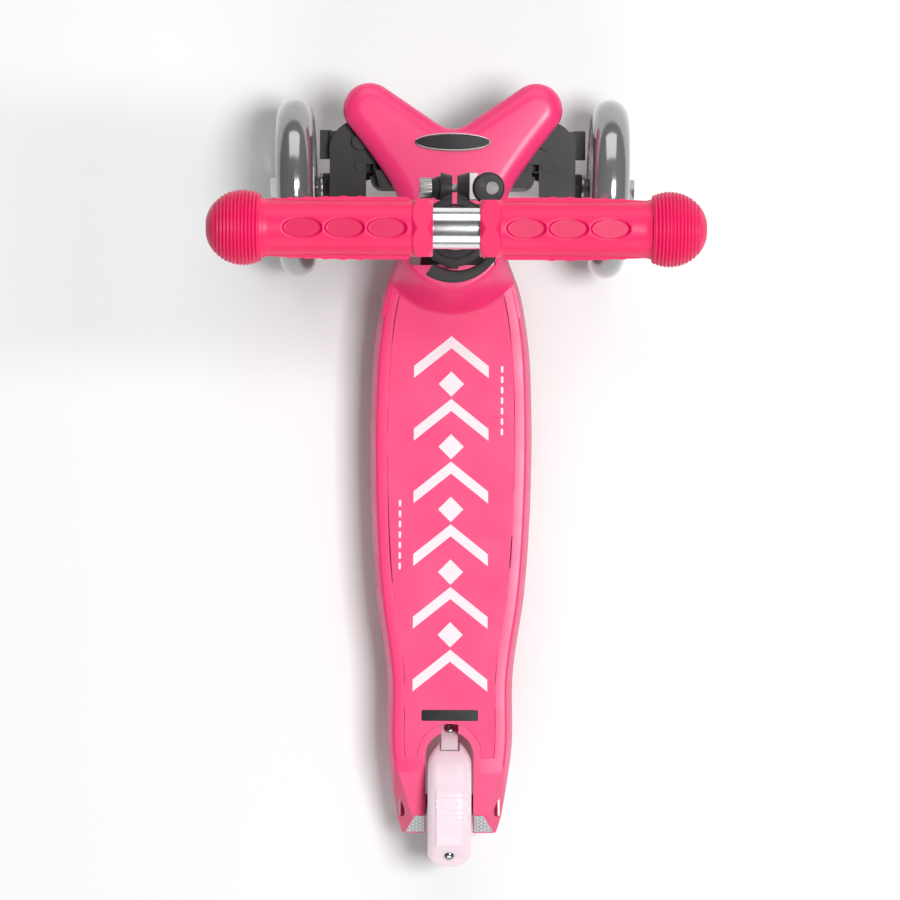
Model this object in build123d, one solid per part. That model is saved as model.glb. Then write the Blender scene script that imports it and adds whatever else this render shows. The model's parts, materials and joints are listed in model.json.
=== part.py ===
from build123d import *
import math
import os

# Child's kick scooter that steers by leaning: two wheels in front, one behind, and a T-bar of adjustable height.
# Millimetres. +Z up, +Y forwards, +X to the rider's right. The origin is on the ground, midway along the length.

# ---- running and assembly clearances
running = 0.03  # radial gap of a shaft in its bearing or bush
sliding = 0.08  # radial gap of a tube that slides in another
gap = 0.3  # between pieces that move past each other
fitted = 0.02  # radial gap of a screw in its hole

# ---- wheels
front_wheel_r = 60.0
front_wheel_w = 24.5
rear_wheel_r = 40.0
rear_wheel_w = 26.0
tread_depth = 12.0  # radial thickness of the front tyre at its crown
rear_tread_depth = 10.0
front_track = 208.0  # between the middles of the two front wheels
front_axle_y = 193.2
rear_axle_y = -222.0
toe_out = 1.5  # degrees that each front wheel points outwards
axle_r = 4.0
bearing_r = 11.0
bearing_w = 7.0
hub_boss_r = 14.0
rim_wall = 4.0
web_w = 5.0
washer_w = 5.2
washer_out = 1.5
hex_bolt_af = 13.0

# ---- column
column_rake = 3.0  # degrees that the column leans back
column_r = 15.5
column_wall = 1.8
stem_r = 11.0
stem_wall = 1.5
stem_foot = 45.0
socket_wall = 3.4
socket_r = column_r + socket_wall
socket_top = 40.0
socket_floor = 9.0
button_r = 4.0
button_s = 31.5
button_back_y = 7.0
bar_height = 426.6  # handlebar axis above the lean axis, along the column
collar_top = 267.4
collar_high = 22.0
collar_wall = 5.0
bolt_out = column_r + 10.5  # clamp bolt's axis ahead of the column's axis
bolt_r = 2.5
ear_out = 8.5
nut_in = 13.4
nut_out = 21.0
cam_r = 9.5
cam_x = ear_out + 2 + cam_r
arm_in_r = column_r + collar_wall + 2.7
arm_out_r = arm_in_r + 6.5
arm_end = 15.0
lever_high = 13.0
lever_pin_out = 3.8

# ---- lean mechanism
column_foot_y = 160.0
lean_axis_z = 74.0
lean_limit = 20.0
steer_limit = 15.0
shaft_r = 7.0
bush_r = 10.0
bush_long = 10.0
lever_drop = 11.7  # the lever's pin lies this far below the lean axis
lever_pin_r = 2.5
shutter_r = socket_r + 2.5
nose_top = 97.0
nose_bottom = 84.0
slot_half_x = shutter_r * math.sin(math.radians(90 - lean_limit / 2)) + 7.4
slot_half_y = socket_r + 1.3

# ---- deck
deck_top = 64.0
deck_bottom = 43.0
deck_wall = 3.5
side_slope = 4.5  # how far each side wall leans in from bottom to top
tail_y = -240.5
neck_front_y = column_foot_y + slot_half_y + bush_long + 0.3
pad_inset = 7.5
pad_thick = 1.4
pad_back_y = -188.0
pad_front_y = 122.0
inlay_deep = 0.6
rib_w = 2.2
rib_pitch_x, rib_pitch_y = 24.0, 42.0
label_y = -160.0
pad_bite = 5.5

# ---- nose
lobe_r = 17.5
lobe_x = 55.2
lobe_y = 243.4
notch_y = 232.5
nose_round = 4.0
badge_y = 221.0
badge_x, badge_r = 24.0, 4.9
hump_base_r = 46.0
hump_top_r = 37.5
hump_y = column_foot_y - 2

# ---- front carrier and knuckles
knuckle_out_x = front_track / 2 - front_wheel_w / 2 - washer_w - 4.85
knuckle_web_x = knuckle_out_x - 6.7
kingpin_x = knuckle_out_x - 19.7
kingpin_y = front_axle_y + 28.8
kingpin_r = 3.0
tie_y = kingpin_y - 15.5
tie_w = 5.0
tie_low, tie_high = 56.5, 68.5
tie_pin_r = 2.0
carrier_x = kingpin_x - 7
carrier_back_y = neck_front_y + 1.5
carrier_front_y = kingpin_y + 16
carrier_bottom = 50.0
carrier_notch_x, carrier_notch_y = 27.0, notch_y - 6  # its front stays hidden under the nose's notch
carrier_round = 8.0
ear_low, ear_high = 48.3, 75.7
ear_r = 9.0
plate_thick = 4.0
knuckle_r = 20.0
knuckle_y = kingpin_y - 5
knuckle_back_y = front_axle_y - 13.2
boss_face_x = knuckle_web_x - 3
screw_r = 2.0
screw_head_r = 4.0

# ---- handlebar
bar_r = 11.1
bar_wall = 1.6
bar_half = 128.0
grip_start = 12.7
grip_body_r = 14.9
hex_af = 30.8
hex_w = 11.4
ball_r = 20.6
ball_x = bar_half - 12.6
ball_back_x = ball_x - 9.4
grip_bore_r = bar_r + fitted
dimple_x = 37.5
dimple_pitch = 22.7
dimple_deep = 0.8
wing_half = 17.4

# ---- tail and brake
slot_gap = 3.0  # beside the rear wheel
slot_half = rear_wheel_w / 2 + slot_gap
slot_front_y = rear_axle_y + rear_wheel_r + 11
cheek_x = 33.0
cheek_r = 12.0
bolt_seat_x = slot_half + 10.5
bolt_recess_r = 7.3
recess_rise = 9.0
slope_y = -226.5
tail_slope = 50.0
reflector_long = 20.0
fender_gap = 4.0  # from the rear tyre to the inside of the fender
fender_thick = 3.0
fender_w = 29.0
fender_in_r = rear_wheel_r + fender_gap
fender_out_r = fender_in_r + fender_thick
fender_front_deg, fender_rear_deg = 30.0, 148.0
fender_tip_r = 16.6
fender_tip_y = rear_axle_y - rear_wheel_r + 0.9 + fender_tip_r
rivet_y = rear_axle_y - 30
rivet_r = 2.2
hinge_y = slot_front_y - 12
hinge_z = rear_wheel_r + math.sqrt(fender_out_r**2 - (hinge_y - rear_axle_y) ** 2)
tab_w = 11.0
tab_slope = 50.0  # degrees that the tab drops towards the front
tab_thick = 2.4
tab_front_y = slot_front_y + 4.2
tab_foot_z = hinge_z - (tab_front_y - hinge_y) * math.tan(math.radians(tab_slope))
tab_long = (tab_front_y - hinge_y) / math.cos(math.radians(tab_slope))
tab_seat_y = slot_front_y - 5.5
screw_along = -6.5
screw_long = 9.0

column_place = Location((0, column_foot_y, lean_axis_z), (column_rake, 0, 0))
lever_pivot = (cam_x + 2, bolt_out)
bolt_s = collar_top - collar_high / 2
bar_place = column_place * Location((0, 0, bar_height))
front_place = Location((front_track / 2, front_axle_y, front_wheel_r), (0, 0, -toe_out))
rear_place = Location((0, rear_axle_y, rear_wheel_r))
tab_place = Location((0, tab_front_y, tab_foot_z), (-tab_slope, 0, 0))
turn_to_x = Rotation(0, 90, 0)


def rod(radius, low, high, x=0, y=0):
    return Pos(x, y, (low + high) / 2) * Cylinder(radius, high - low)


def rod_x(radius, low, high, y=0, z=0):
    return Pos((low + high) / 2, y, z) * turn_to_x * Cylinder(radius, high - low)


def rod_y(radius, low, high, x=0, z=0):
    return Pos(x, (low + high) / 2, z) * Rotation(90, 0, 0) * Cylinder(radius, high - low)


def block(x0, x1, y0, y1, z0, z1):
    return Pos((x0 + x1) / 2, (y0 + y1) / 2, (z0 + z1) / 2) * Box(x1 - x0, y1 - y0, z1 - z0)


def mirrored(shape):
    return mirror(shape, about=Plane.YZ)


def both(shape):
    return Compound([shape, mirrored(shape)])


def deck_outline(inset, front_y=neck_front_y, back_y=tail_y):
    """Half widths along the deck: narrow tail, long swell under the feet, waist at the neck."""
    side = [(33.4, tail_y), (38.4, -212), (42.1, -185), (42.7, -135), (50.4, -77), (54.3, -10), (54.6, 43)]
    side += [(51.9, 92), (46.3, 124), (36.6, 152), (33.0, 172), (33.0, neck_front_y)]
    right = Spline(*[(x - inset, y) for x, y in side])
    left = Spline(*[(inset - x, y) for x, y in side])
    ends = Line(left @ 0, right @ 0) + Line(left @ 1, right @ 1)
    face = make_face([right, left] + ends.edges())
    keep = Pos(0, (front_y + back_y) / 2) * Rectangle(200, front_y - back_y)
    return face & keep


def deck_block(inset, low, high):
    """Outline carried from low to high, with the slope of the side walls."""
    share = side_slope / (deck_top - deck_bottom)
    wide = Pos(0, 0, low) * deck_outline(inset + (low - deck_bottom) * share)
    narrow = Pos(0, 0, high) * deck_outline(inset + (high - deck_bottom) * share)
    return loft([wide.face(), narrow.face()], ruled=True)


def tail_slot(grow=0.0):
    half = slot_half + grow
    round_y = slot_front_y + grow - half
    cut = block(-half, half, tail_y - 5, round_y, 0, 120)
    return cut + rod(half, 0, 120, 0, round_y)


def panel_area(grow=0.0):
    """Tread panel: follows the deck's edge, with a round bite for the hump and one for the wheel slot."""
    face = deck_outline(side_slope + pad_inset - grow, pad_front_y + grow, pad_back_y - grow)
    face -= Pos(0, hump_y) * Circle(hump_base_r + 4.5 - grow)
    face -= Pos(0, slot_front_y - slot_half) * Circle(slot_half + pad_bite - grow)
    return face


def nose_area():
    """Two round lobes joined by a rounded V, drawn in to a waist behind."""
    lobe_edge = math.radians(-28)
    out_x = lobe_x + lobe_r * math.cos(lobe_edge)
    out_y = lobe_y + lobe_r * math.sin(lobe_edge)
    inner = math.radians(124)
    in_x = lobe_x + lobe_r * math.cos(inner)
    in_y = lobe_y + lobe_r * math.sin(inner)
    flank = Spline((33, 150), (33, 170), (38.5, 190), (52.5, 211.5), (out_x, out_y))
    crown = ThreePointArc((out_x, out_y), (lobe_x + lobe_r * 0.72, lobe_y + lobe_r * 0.694), (in_x, in_y))
    dip = Spline((in_x, in_y), (26, 248), (13, 238.4), (0, notch_y))
    base = Line((0, 150), (33, 150))
    half = make_face([flank, crown, dip, base, Line((0, notch_y), (0, 150))])
    return half + mirror(half, about=Plane.YZ)


def head_cavity():
    return block(-slot_half_x, slot_half_x, column_foot_y - slot_half_y, column_foot_y + slot_half_y, 30, 120)


def screw_places():
    return [(36, 200), (36, 230), (-36, 200), (-36, 230)]


def deck_shell():
    body = deck_block(0, deck_bottom, deck_top)
    hollow = deck_block(deck_wall, deck_bottom - 1, deck_top - deck_wall)
    hollow &= block(-80, 80, slot_front_y + 13, column_foot_y - hump_base_r, 0, 100)
    for rib_x in (-rib_pitch_x, 0, rib_pitch_x):
        hollow -= block(rib_x - rib_w / 2, rib_x + rib_w / 2, -170, 150, deck_bottom, 100)
    for step in range(6):
        rib_y = -125 + step * rib_pitch_y
        hollow -= block(-80, 80, rib_y - rib_w / 2, rib_y + rib_w / 2, deck_bottom, 100)
    body -= hollow
    hump = Pos(0, hump_y) * revolve(
        make_face(
            Plane.XZ
            * Polyline(
                (0, deck_bottom + 2),
                (hump_base_r - 2, deck_bottom + 2),
                (hump_base_r, deck_top),
                (hump_top_r + 3, nose_top - 12),
                (hump_top_r, nose_top - 3),
                (hump_top_r - 3.5, nose_top),
                (0, nose_top),
                close=True,
            )
        ),
        Axis.Z,
    )
    hump &= block(-80, 80, 0, neck_front_y, 0, 120)
    hump &= extrude(deck_outline(1.0), 120)
    nose = Pos(0, 0, nose_bottom) * extrude(nose_area(), nose_top - nose_bottom)
    top_edges = nose.edges().group_by(Axis.Z)[-1].filter_by(lambda e: e.center().Y > 151)
    nose = fillet(top_edges, nose_round)
    neck = block(-30, 30, 150, neck_front_y, deck_bottom, nose_bottom + 2)
    body = body + hump + nose + neck
    body -= head_cavity()
    bush_back_y = column_foot_y - slot_half_y - bush_long - 1.8
    body -= rod_y(bush_r + fitted, bush_back_y, neck_front_y + 1, 0, lean_axis_z)
    body -= tail_slot()
    body -= Pos(0, 0, deck_top - pad_thick) * extrude(panel_area(0.15), 20)
    cheek = block(-cheek_x, cheek_x, rear_axle_y - cheek_r, rear_axle_y + cheek_r, rear_wheel_r, deck_top - 6)
    cheek += rod_x(cheek_r, -cheek_x, cheek_x, rear_axle_y, rear_wheel_r)
    body += cheek - tail_slot()
    body += block(-tab_w / 2, tab_w / 2, tab_seat_y, tab_front_y + 2, deck_bottom, deck_top - pad_thick)
    facet = both(tail_facet())
    body -= facet
    body -= Pos(0, slope_y, deck_top) * Rotation(tail_slope, 0, 0) * block(-80, 80, -60, 0, 0, 40)
    body -= rod_x(axle_r + fitted, -80, 80, rear_axle_y, rear_wheel_r)
    recess = rod_x(bolt_recess_r, bolt_seat_x, 60, rear_axle_y, rear_wheel_r)
    recess += rod_x(bolt_recess_r, bolt_seat_x, 60, rear_axle_y, rear_wheel_r + recess_rise)
    recess += block(bolt_seat_x, 60, rear_axle_y - bolt_recess_r, rear_axle_y + bolt_recess_r, rear_wheel_r,
                    rear_wheel_r + recess_rise)
    body -= both(recess)
    body -= tab_place * block(-tab_w / 2 - gap, tab_w / 2 + gap, -tab_long - 6, gap, -tab_thick, 40)
    body -= tab_place * rod(screw_r + fitted, -screw_long, 30, 0, screw_along)
    for x, y in screw_places():
        body -= rod(screw_r + fitted, nose_bottom - 1, nose_bottom + 8, x, y)
    return body


def tail_facet():
    """Outside of the plane that bevels the side wall towards the tail."""
    top_front, top_back = Vector(37.1, -190, deck_top), Vector(24.9, slope_y, deck_top)
    low_back = Vector(36.4, slope_y, deck_bottom)
    along = top_front - top_back
    normal = along.cross(low_back - top_back)
    if normal.X < 0:
        normal = -normal
    return Plane(origin=top_back, x_dir=along, z_dir=normal) * Pos(0, 0, 30) * Box(200, 100, 60)


def deck_pad():
    pad = Pos(0, 0, deck_top - pad_thick) * extrude(panel_area(), pad_thick)
    pad -= Pos(0, 0, deck_top - inlay_deep) * extrude(inlay_area(0.02), inlay_deep)
    pad -= Pos(0, 0, deck_top - inlay_deep) * extrude(label_area(0.02), inlay_deep)
    return pad


def chevron(y, half, grow=0.0):
    """Broad arrow that points forwards, as an even band."""
    band = 8.0
    arms = Polyline((-half, y - 14), (0, y + 6), (half, y - 14), (half, y - 14 - band), (0, y + 6 - band),
                    (-half, y - 14 - band), close=True)
    face = make_face(arms)
    return offset(face, grow) if grow else face


def inlay_area(grow=0.0):
    """Moulded pattern: a column of forward arrows and lozenges, with rows of small dashes beside it."""
    area = Sketch()
    for row in range(6):
        area += chevron(88 - row * 42, 25, grow)
    for row in range(5):
        area += Pos(0, 62 - row * 42) * Rotation(0, 0, 45) * Rectangle(12 + 2 * grow, 12 + 2 * grow)
    for side, low in ((1, 30), (-1, -60)):
        for step in range(7):
            area += Pos(side * 34, low + step * 7) * SlotOverall(4.5 + 2 * grow, 1.6 + 2 * grow, rotation=90)
    return area


def label_area(grow=0.0):
    return Pos(0, label_y) * RectangleRounded(38 + 2 * grow, 7.4 + 2 * grow, 1 + grow)


def deck_graphics():
    return Pos(0, 0, deck_top - inlay_deep) * extrude(inlay_area(), inlay_deep)


def brake_label():
    return Pos(0, 0, deck_top - inlay_deep) * extrude(label_area(), inlay_deep)


def badge_plate():
    return Pos(0, badge_y, nose_top) * extrude(Ellipse(badge_x, badge_r), 0.8)


def badge_rim():
    ring = Ellipse(badge_x + 1.2, badge_r + 1.2) - Ellipse(badge_x, badge_r)
    return Pos(0, badge_y, nose_top) * extrude(ring, 1.1)


def tail_reflectors():
    """Thin stickers on the tail's sloped face, wider towards the bottom."""
    inner_x = fender_w / 2 + 2.2
    sticker = make_face(Polyline((inner_x, -1), (23.2, -1), (29.5, -reflector_long), (inner_x, -reflector_long), close=True))
    place = Location((0, slope_y, deck_top), (tail_slope, 0, 0))
    return both(place * extrude(sticker, 0.4))


# ---------------------------------------------------------------- front carrier, knuckles and steering
def knuckle_outline():
    """Top plate of the fork: round in front of the kingpin, straight behind it."""
    inner_x = carrier_x + 2.5
    outline = Pos(kingpin_x, knuckle_y) * Circle(knuckle_r)
    outline &= Pos(kingpin_x, knuckle_y + 13) * Rectangle(60, 44)
    tail = Pos((inner_x + knuckle_out_x) / 2, (knuckle_back_y + knuckle_y) / 2)
    return outline + tail * Rectangle(knuckle_out_x - inner_x, knuckle_y - knuckle_back_y)


def knuckle_room():
    """Space above the ear and below it that the fork's plates sweep as it steers."""
    outline = offset(knuckle_outline(), 2 * gap)
    room = Sketch()
    for share in (-1, -0.5, 0, 0.5, 1):
        about = Pos(kingpin_x, kingpin_y) * Rotation(0, 0, share * (steer_limit + 0.5)) * Pos(-kingpin_x, -kingpin_y)
        room += about * outline
    return Pos(0, 0, ear_high) * extrude(room, 40) + Pos(0, 0, ear_low - 40) * extrude(room, 40)


def front_carrier():
    """Box under the nose with an ear at each side for the kingpin and a tunnel for the tie bar."""
    box = block(-carrier_x, carrier_x, carrier_back_y, carrier_front_y, carrier_bottom, nose_bottom)
    box = fillet(box.edges().filter_by(Axis.Z), carrier_round)
    ear = rod(ear_r, ear_low, ear_high, kingpin_x, kingpin_y)
    ear += block(carrier_x - 15, kingpin_x, kingpin_y - ear_r, kingpin_y + ear_r, ear_low, ear_high)
    room = knuckle_room()
    box -= room + mirrored(room)
    box += ear + mirrored(ear)
    tunnel = block(-80, 80, tie_y - 6.5, tie_y + 6.5, tie_low - 1, tie_high + 1)
    pin_way = block(carrier_x - 2, 80, tie_y - 6.5, tie_y + 6.5, 0, 120)
    swing = block(-15, 15, carrier_back_y - 2, tie_y, 55, nose_bottom)
    swing += rod_y(bush_r + 1, carrier_back_y - 2, tie_y - 1, 0, lean_axis_z)
    box -= tunnel + pin_way + mirrored(pin_way) + swing
    pin_hole = rod(kingpin_r + fitted, 0, 120, kingpin_x, kingpin_y)
    box -= pin_hole + mirrored(pin_hole)
    for x, y in screw_places():
        box -= rod(screw_r + fitted, 0, 120, x, y) + rod(screw_head_r + 0.1, 0, carrier_bottom + 6, x, y)
    box -= block(-carrier_notch_x, carrier_notch_x, carrier_notch_y, carrier_front_y + 1, 0, 120)
    return box


def carrier_screws():
    screws = []
    for x, y in screw_places():
        shank = rod(screw_r, carrier_bottom + 3, nose_bottom + 7.5, x, y)
        screws.append(shank + rod(screw_head_r, carrier_bottom + 2, carrier_bottom + 6, x, y))
    return Compound(screws)


def kingpins():
    low, high = ear_low - gap * 2 - plate_thick, ear_high + gap * 2 + plate_thick
    pin = rod(kingpin_r, low - 1.2, high + 1.2, kingpin_x, kingpin_y)
    pin += rod(kingpin_r + 2, high + 0.7, high + 3.1, kingpin_x, kingpin_y)
    pin += rod(kingpin_r + 2, low - 2.9, low - 0.7, kingpin_x, kingpin_y)
    return both(pin)


def right_knuckle():
    """Fork that turns on the kingpin: two plates, an outboard web and the boss of the wheel's axle."""
    top = Pos(0, 0, ear_high + gap * 2) * extrude(knuckle_outline(), plate_thick)
    low_tail = Pos(knuckle_web_x - 0.5, front_axle_y + 6.8) * Rectangle(14, 30)
    low_outline = Pos(kingpin_x, knuckle_y) * Circle(knuckle_r - 2) + low_tail
    bottom = Pos(0, 0, ear_low - gap * 2 - plate_thick) * extrude(low_outline, plate_thick)
    web = block(knuckle_web_x, knuckle_out_x, front_axle_y - 7.2, kingpin_y + 8, ear_low - 1, ear_high + 1)
    web += rod_x(13, boss_face_x, knuckle_out_x, front_axle_y, front_wheel_r)
    flange = block(knuckle_out_x - 1, knuckle_out_x + 6.9, front_axle_y + 18.8, kingpin_y + 9, 66, 72)
    boss = front_place * rod_x(9.5, boss_face_x - front_track / 2 + 6, -washer_w - front_wheel_w / 2, 0, 0)
    body = top + bottom + web + flange + boss
    body -= front_place * rod_x(axle_r + fitted, -60, 60)
    body -= rod(kingpin_r + running, 0, 120, kingpin_x, kingpin_y)
    body -= rod(tie_pin_r + fitted, 0, 120, kingpin_x, tie_y)
    return body


def right_tie_pin():
    low, high = ear_low - gap * 2 - plate_thick, ear_high + gap * 2 + plate_thick
    return rod(tie_pin_r, low, high, kingpin_x, tie_y) + rod(tie_pin_r + 1.2, high, high + 1.2, kingpin_x, tie_y)


def tie_bar():
    """Flat bar across the car: a slotted eye at each end and a slot for the lever's pin in the middle."""
    swing = (kingpin_y - tie_y) * (1 - math.cos(math.radians(steer_limit)))
    bar = block(-kingpin_x, kingpin_x, tie_y - tie_w / 2, tie_y + tie_w / 2, tie_low, tie_high)
    for side in (-1, 1):
        bar += rod(4.2, tie_low, tie_high, side * kingpin_x, tie_y)
        slot = Pos(side * kingpin_x, tie_y + swing / 2) * SlotOverall(
            2 * tie_pin_r + swing + 0.6, 2 * tie_pin_r + 0.25, rotation=90)
        bar -= extrude(slot, 200)
    pin_z = lean_axis_z - lever_drop
    rise = lever_drop * (1 - math.cos(math.radians(lean_limit)))
    bar -= block(-lever_pin_r - 0.12, lever_pin_r + 0.12, tie_y - 10, tie_y + 10, pin_z - lever_pin_r - 0.3,
                 pin_z + lever_pin_r + rise + 0.3)
    return bar


def steering_head():
    """Socket for the column on a shaft along the lean axis, with a lever down to the tie bar in front."""
    cup = column_place * rod(socket_r, -socket_floor, socket_top)
    back_y = column_foot_y - slot_half_y - bush_long - 0.8
    body = cup + rod_y(shaft_r, back_y, tie_y - 4, 0, lean_axis_z)
    body -= column_place * rod(column_r + sliding, socket_floor, socket_top + 1)
    arm = block(-6.5, 6.5, tie_y - 9, tie_y - 4, lean_axis_z - lever_drop - 3.5, lean_axis_z)
    body += arm + rod_y(lever_pin_r, tie_y - 5, tie_y + 3, 0, lean_axis_z - lever_drop)
    body -= column_place * rod_y(button_r + sliding, -socket_r - 10, 0, 0, button_s)
    return body


def head_bushes():
    """Plain bushes in the hump and the neck that the head's shaft turns in."""
    back_y = column_foot_y - slot_half_y
    front = rod_y(bush_r, neck_front_y - bush_long, neck_front_y, 0, lean_axis_z)
    rear = rod_y(bush_r, back_y - bush_long, back_y, 0, lean_axis_z)
    bore = rod_y(shaft_r + running, back_y - bush_long - 1, neck_front_y + 1, 0, lean_axis_z)
    return Compound([front - bore, rear - bore])


def head_shutter():
    """Curved cover that rides on the head and keeps the slot in the hump closed as the column leans."""
    shell = rod_y(shutter_r, column_foot_y - slot_half_y + 0.6, column_foot_y + slot_half_y - 0.6, 0, lean_axis_z)
    shell -= rod_y(shutter_r - 1.6, 0, 300, 0, lean_axis_z)
    shell &= block(-shutter_r, shutter_r, 0, 300, lean_axis_z + 4, 200)
    shell -= column_place * rod(socket_r + fitted, 0, 80)
    return shell


# ---------------------------------------------------------------- column and clamp, modelled upright, then raked
def on_column(shape):
    return column_place * shape


def column_outer():
    tube = rod(column_r, socket_floor + 0.2, collar_top - 1.5)
    tube -= rod(column_r - column_wall, 0, collar_top)
    tube -= block(-1.7, 1.7, -20, 20, collar_top - 26, collar_top)
    tube -= rod_y(button_r + sliding, -20, 0, 0, button_s)
    return on_column(tube)


def guide_bush():
    """Lining of the outer tube's mouth that the stem slides in."""
    bush = rod(column_r - column_wall, collar_top - 60, collar_top - 1.5)
    bush += rod(column_r, collar_top - 1.5, collar_top)
    bush -= rod(stem_r + sliding, 0, collar_top + 1)
    bush -= block(-1.5, 1.5, stem_r - 1, column_r + 5, collar_top - 61, collar_top + 1)
    return on_column(bush)


def lock_button():
    """Sprung button behind the socket that holds the column in."""
    flange_r = button_r + 2
    flange_y = math.sqrt((column_r - column_wall) ** 2 - flange_r**2) - 0.3
    button = rod_y(button_r, -socket_r - 2.5, -button_back_y, 0, button_s)
    button += rod_y(flange_r, -flange_y, -button_back_y, 0, button_s)
    return on_column(button)


def button_spring():
    """Spring between the button and the far wall of the tube."""
    ring = rod_y(3.2, 0.1 - button_back_y, column_r - column_wall - 0.5, 0, button_s)
    ring -= rod_y(2.2, -30, 30, 0, button_s)
    return on_column(ring)


def column_inner():
    tube = rod(stem_r, stem_foot, bar_height)
    tube -= rod(stem_r - stem_wall, stem_foot - 1, bar_height - 3)
    tube -= on_bar_hole()
    return on_column(tube)


def on_bar_hole():
    return rod_x(bar_r + fitted, -40, 40, 0, bar_height)


def crossbar():
    bar = rod_x(bar_r, -bar_half, bar_half) - rod_x(bar_r - bar_wall, -bar_half - 1, bar_half + 1)
    return bar_place * bar


def clamp_collar():
    """Split ring with two ears in front, drawn together by the lever."""
    low, high = collar_top - collar_high, collar_top
    ring = rod(column_r + collar_wall, low, high)
    ears = block(-ear_out, ear_out, column_r, bolt_out, low + 1, high - 1)
    ears += rod_x((collar_high - 2) / 2, -ear_out, ear_out, bolt_out, bolt_s)
    ring = ring + ears
    ring -= rod(column_r + fitted, low - 1, high + 1)
    ring -= block(-1.5, 1.5, 0, 50, low - 1, high + 1)
    ring -= rod_x(bolt_r + fitted, -50, 50, bolt_out, bolt_s)
    return on_column(ring)


def clamp_bolt():
    return on_column(rod_x(bolt_r, -nut_out + 0.6, lever_pivot[0], bolt_out, bolt_s))


def clamp_nut():
    nut = Pos(-nut_out, bolt_out, bolt_s) * turn_to_x * extrude(RegularPolygon(6.15, 12), nut_out - nut_in)
    return on_column(nut - rod_x(bolt_r + fitted, -60, 0, bolt_out, bolt_s))


def dome_washer():
    dome = Pos(0, bolt_out, bolt_s) * revolve(
        make_face(Plane.XY * Polyline((-ear_out, bolt_r + fitted), (-ear_out, 7.2), (-ear_out - 2, 7.0),
                                      (-nut_in, 6.2), (-nut_in, bolt_r + fitted), close=True)), Axis.X)
    return on_column(dome)


def saddle_washer():
    """Bearing pad between the ear and the round head of the lever."""
    pad = block(ear_out, ear_out + 5, bolt_out - 7, bolt_out + 9, bolt_s - 6.5, bolt_s + 6.5)
    pad -= rod(cam_r + 0.05, bolt_s - 20, bolt_s + 20, cam_x, bolt_out)
    pad -= rod_x(bolt_r + fitted, 0, 50, bolt_out, bolt_s)
    return on_column(pad)


def clamp_lever():
    """Cam head on its pin, and an arm that curls back round the collar."""
    px, py = lever_pivot
    low, high = bolt_s - lever_high / 2, bolt_s + lever_high / 2
    head = rod(cam_r, low, high, cam_x, bolt_out)
    ring = rod(arm_out_r, low + 1, high - 1) - rod(arm_in_r, low, high)
    sweep = make_face(Polyline((0, 0), (60, 24), (60, -70), (-arm_end, -70), (-arm_end, -arm_in_r * 0.6), (0, 0)))
    ring &= Pos(0, 0, low) * extrude(sweep, lever_high)
    body = head + ring
    body += block(arm_in_r + 1, arm_out_r, 6, bolt_out - 2, low + 1, high - 1)
    body -= block(0, px + 14, py - 3.4, py + 14, bolt_s - bolt_r - 0.4, bolt_s + bolt_r + 0.4)
    body -= rod(lever_pin_out + running, low - 1, high + 1, px, py)
    return on_column(body)


def lever_pin():
    px, py = lever_pivot
    low, high = bolt_s - lever_high / 2, bolt_s + lever_high / 2
    pin = rod(lever_pin_out, low - 1, high + 1, px, py)
    return on_column(pin - rod_x(bolt_r + fitted, 0, px, py, bolt_s))


# ---------------------------------------------------------------- handlebar
def right_grip():
    """Moulded sleeve: six-sided flange, dimpled body and a ball at the end."""
    flange = Pos(grip_start, 0, 0) * turn_to_x * extrude(RegularPolygon(hex_af / 2, 6, major_radius=False,
                                                                        rotation=0), hex_w)
    flange &= rod_x(hex_af / 2 + 1.6, grip_start, grip_start + hex_w)
    body = rod_x(grip_body_r, grip_start + 1, ball_x)
    ball = Pos(ball_x, 0, 0) * Sphere(ball_r) & block(ball_back_x, 200, -30, 30, -30, 30)
    ball = ball - Pos(ball_x + ball_r - 0.6 + 20, 0, 0) * Box(40, 60, 60)
    grip = flange + body + ball
    for step in range(3):
        dimple = Pos(dimple_x + step * dimple_pitch, 0, grip_body_r - dimple_deep)
        grip -= dimple * extrude(Ellipse(11, 6.2), 5)
    wing = block(grip_start + hex_w, ball_x, -wing_half, wing_half, -1.5, 1.5)
    grip += wing & rod_x(18.4, grip_start + hex_w, ball_x)
    grip -= rod_x(grip_bore_r, 0, bar_half + 0.3)
    return grip


def both_ends(shape):
    return bar_place * shape, bar_place * mirrored(shape)


def bar_plugs():
    plug = rod_x(bar_r - bar_wall - fitted, bar_half - 12, bar_half)
    return bar_place * both(plug)


# ---------------------------------------------------------------- wheels, modelled on the X axis
def tyre(radius, width, depth):
    """Round crowned ring: its outer outline is an arc across the width."""
    inner, shoulder, half = radius - depth, radius - 6.0, width / 2
    side = Line((half, inner), (half, shoulder))
    crown = ThreePointArc((half, shoulder), (0, radius), (-half, shoulder))
    rest = Polyline((-half, shoulder), (-half, inner), (half, inner))
    return revolve(make_face([side, crown] + rest.edges()), Axis.X)


def hub(radius, width, depth):
    """Rim, web with holes, and a boss bored for two bearings."""
    rim_r = radius - depth
    half = width / 2 - 0.2
    body = rod_x(rim_r, -half + 1, half - 1) - rod_x(rim_r - rim_wall, -half, half)
    body += rod_x(rim_r - 1, -web_w / 2, web_w / 2) + rod_x(hub_boss_r, -half, half)
    holes = 6
    middle = (rim_r - rim_wall + hub_boss_r) / 2
    hole_r = min((rim_r - rim_wall - hub_boss_r) / 2 - 1.5, middle * 0.4)
    for turn in range(holes):
        body -= Rotation(turn * 360 / holes, 0, 0) * rod_x(hole_r, -half, half, 0, middle)
    body -= rod_x(6.6, -half - 1, half + 1)
    for side in (-1, 1):
        inner, outer = sorted((side * (half - bearing_w), side * (half + 1)))
        body -= rod_x(bearing_r + fitted, inner, outer)
    return body


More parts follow.
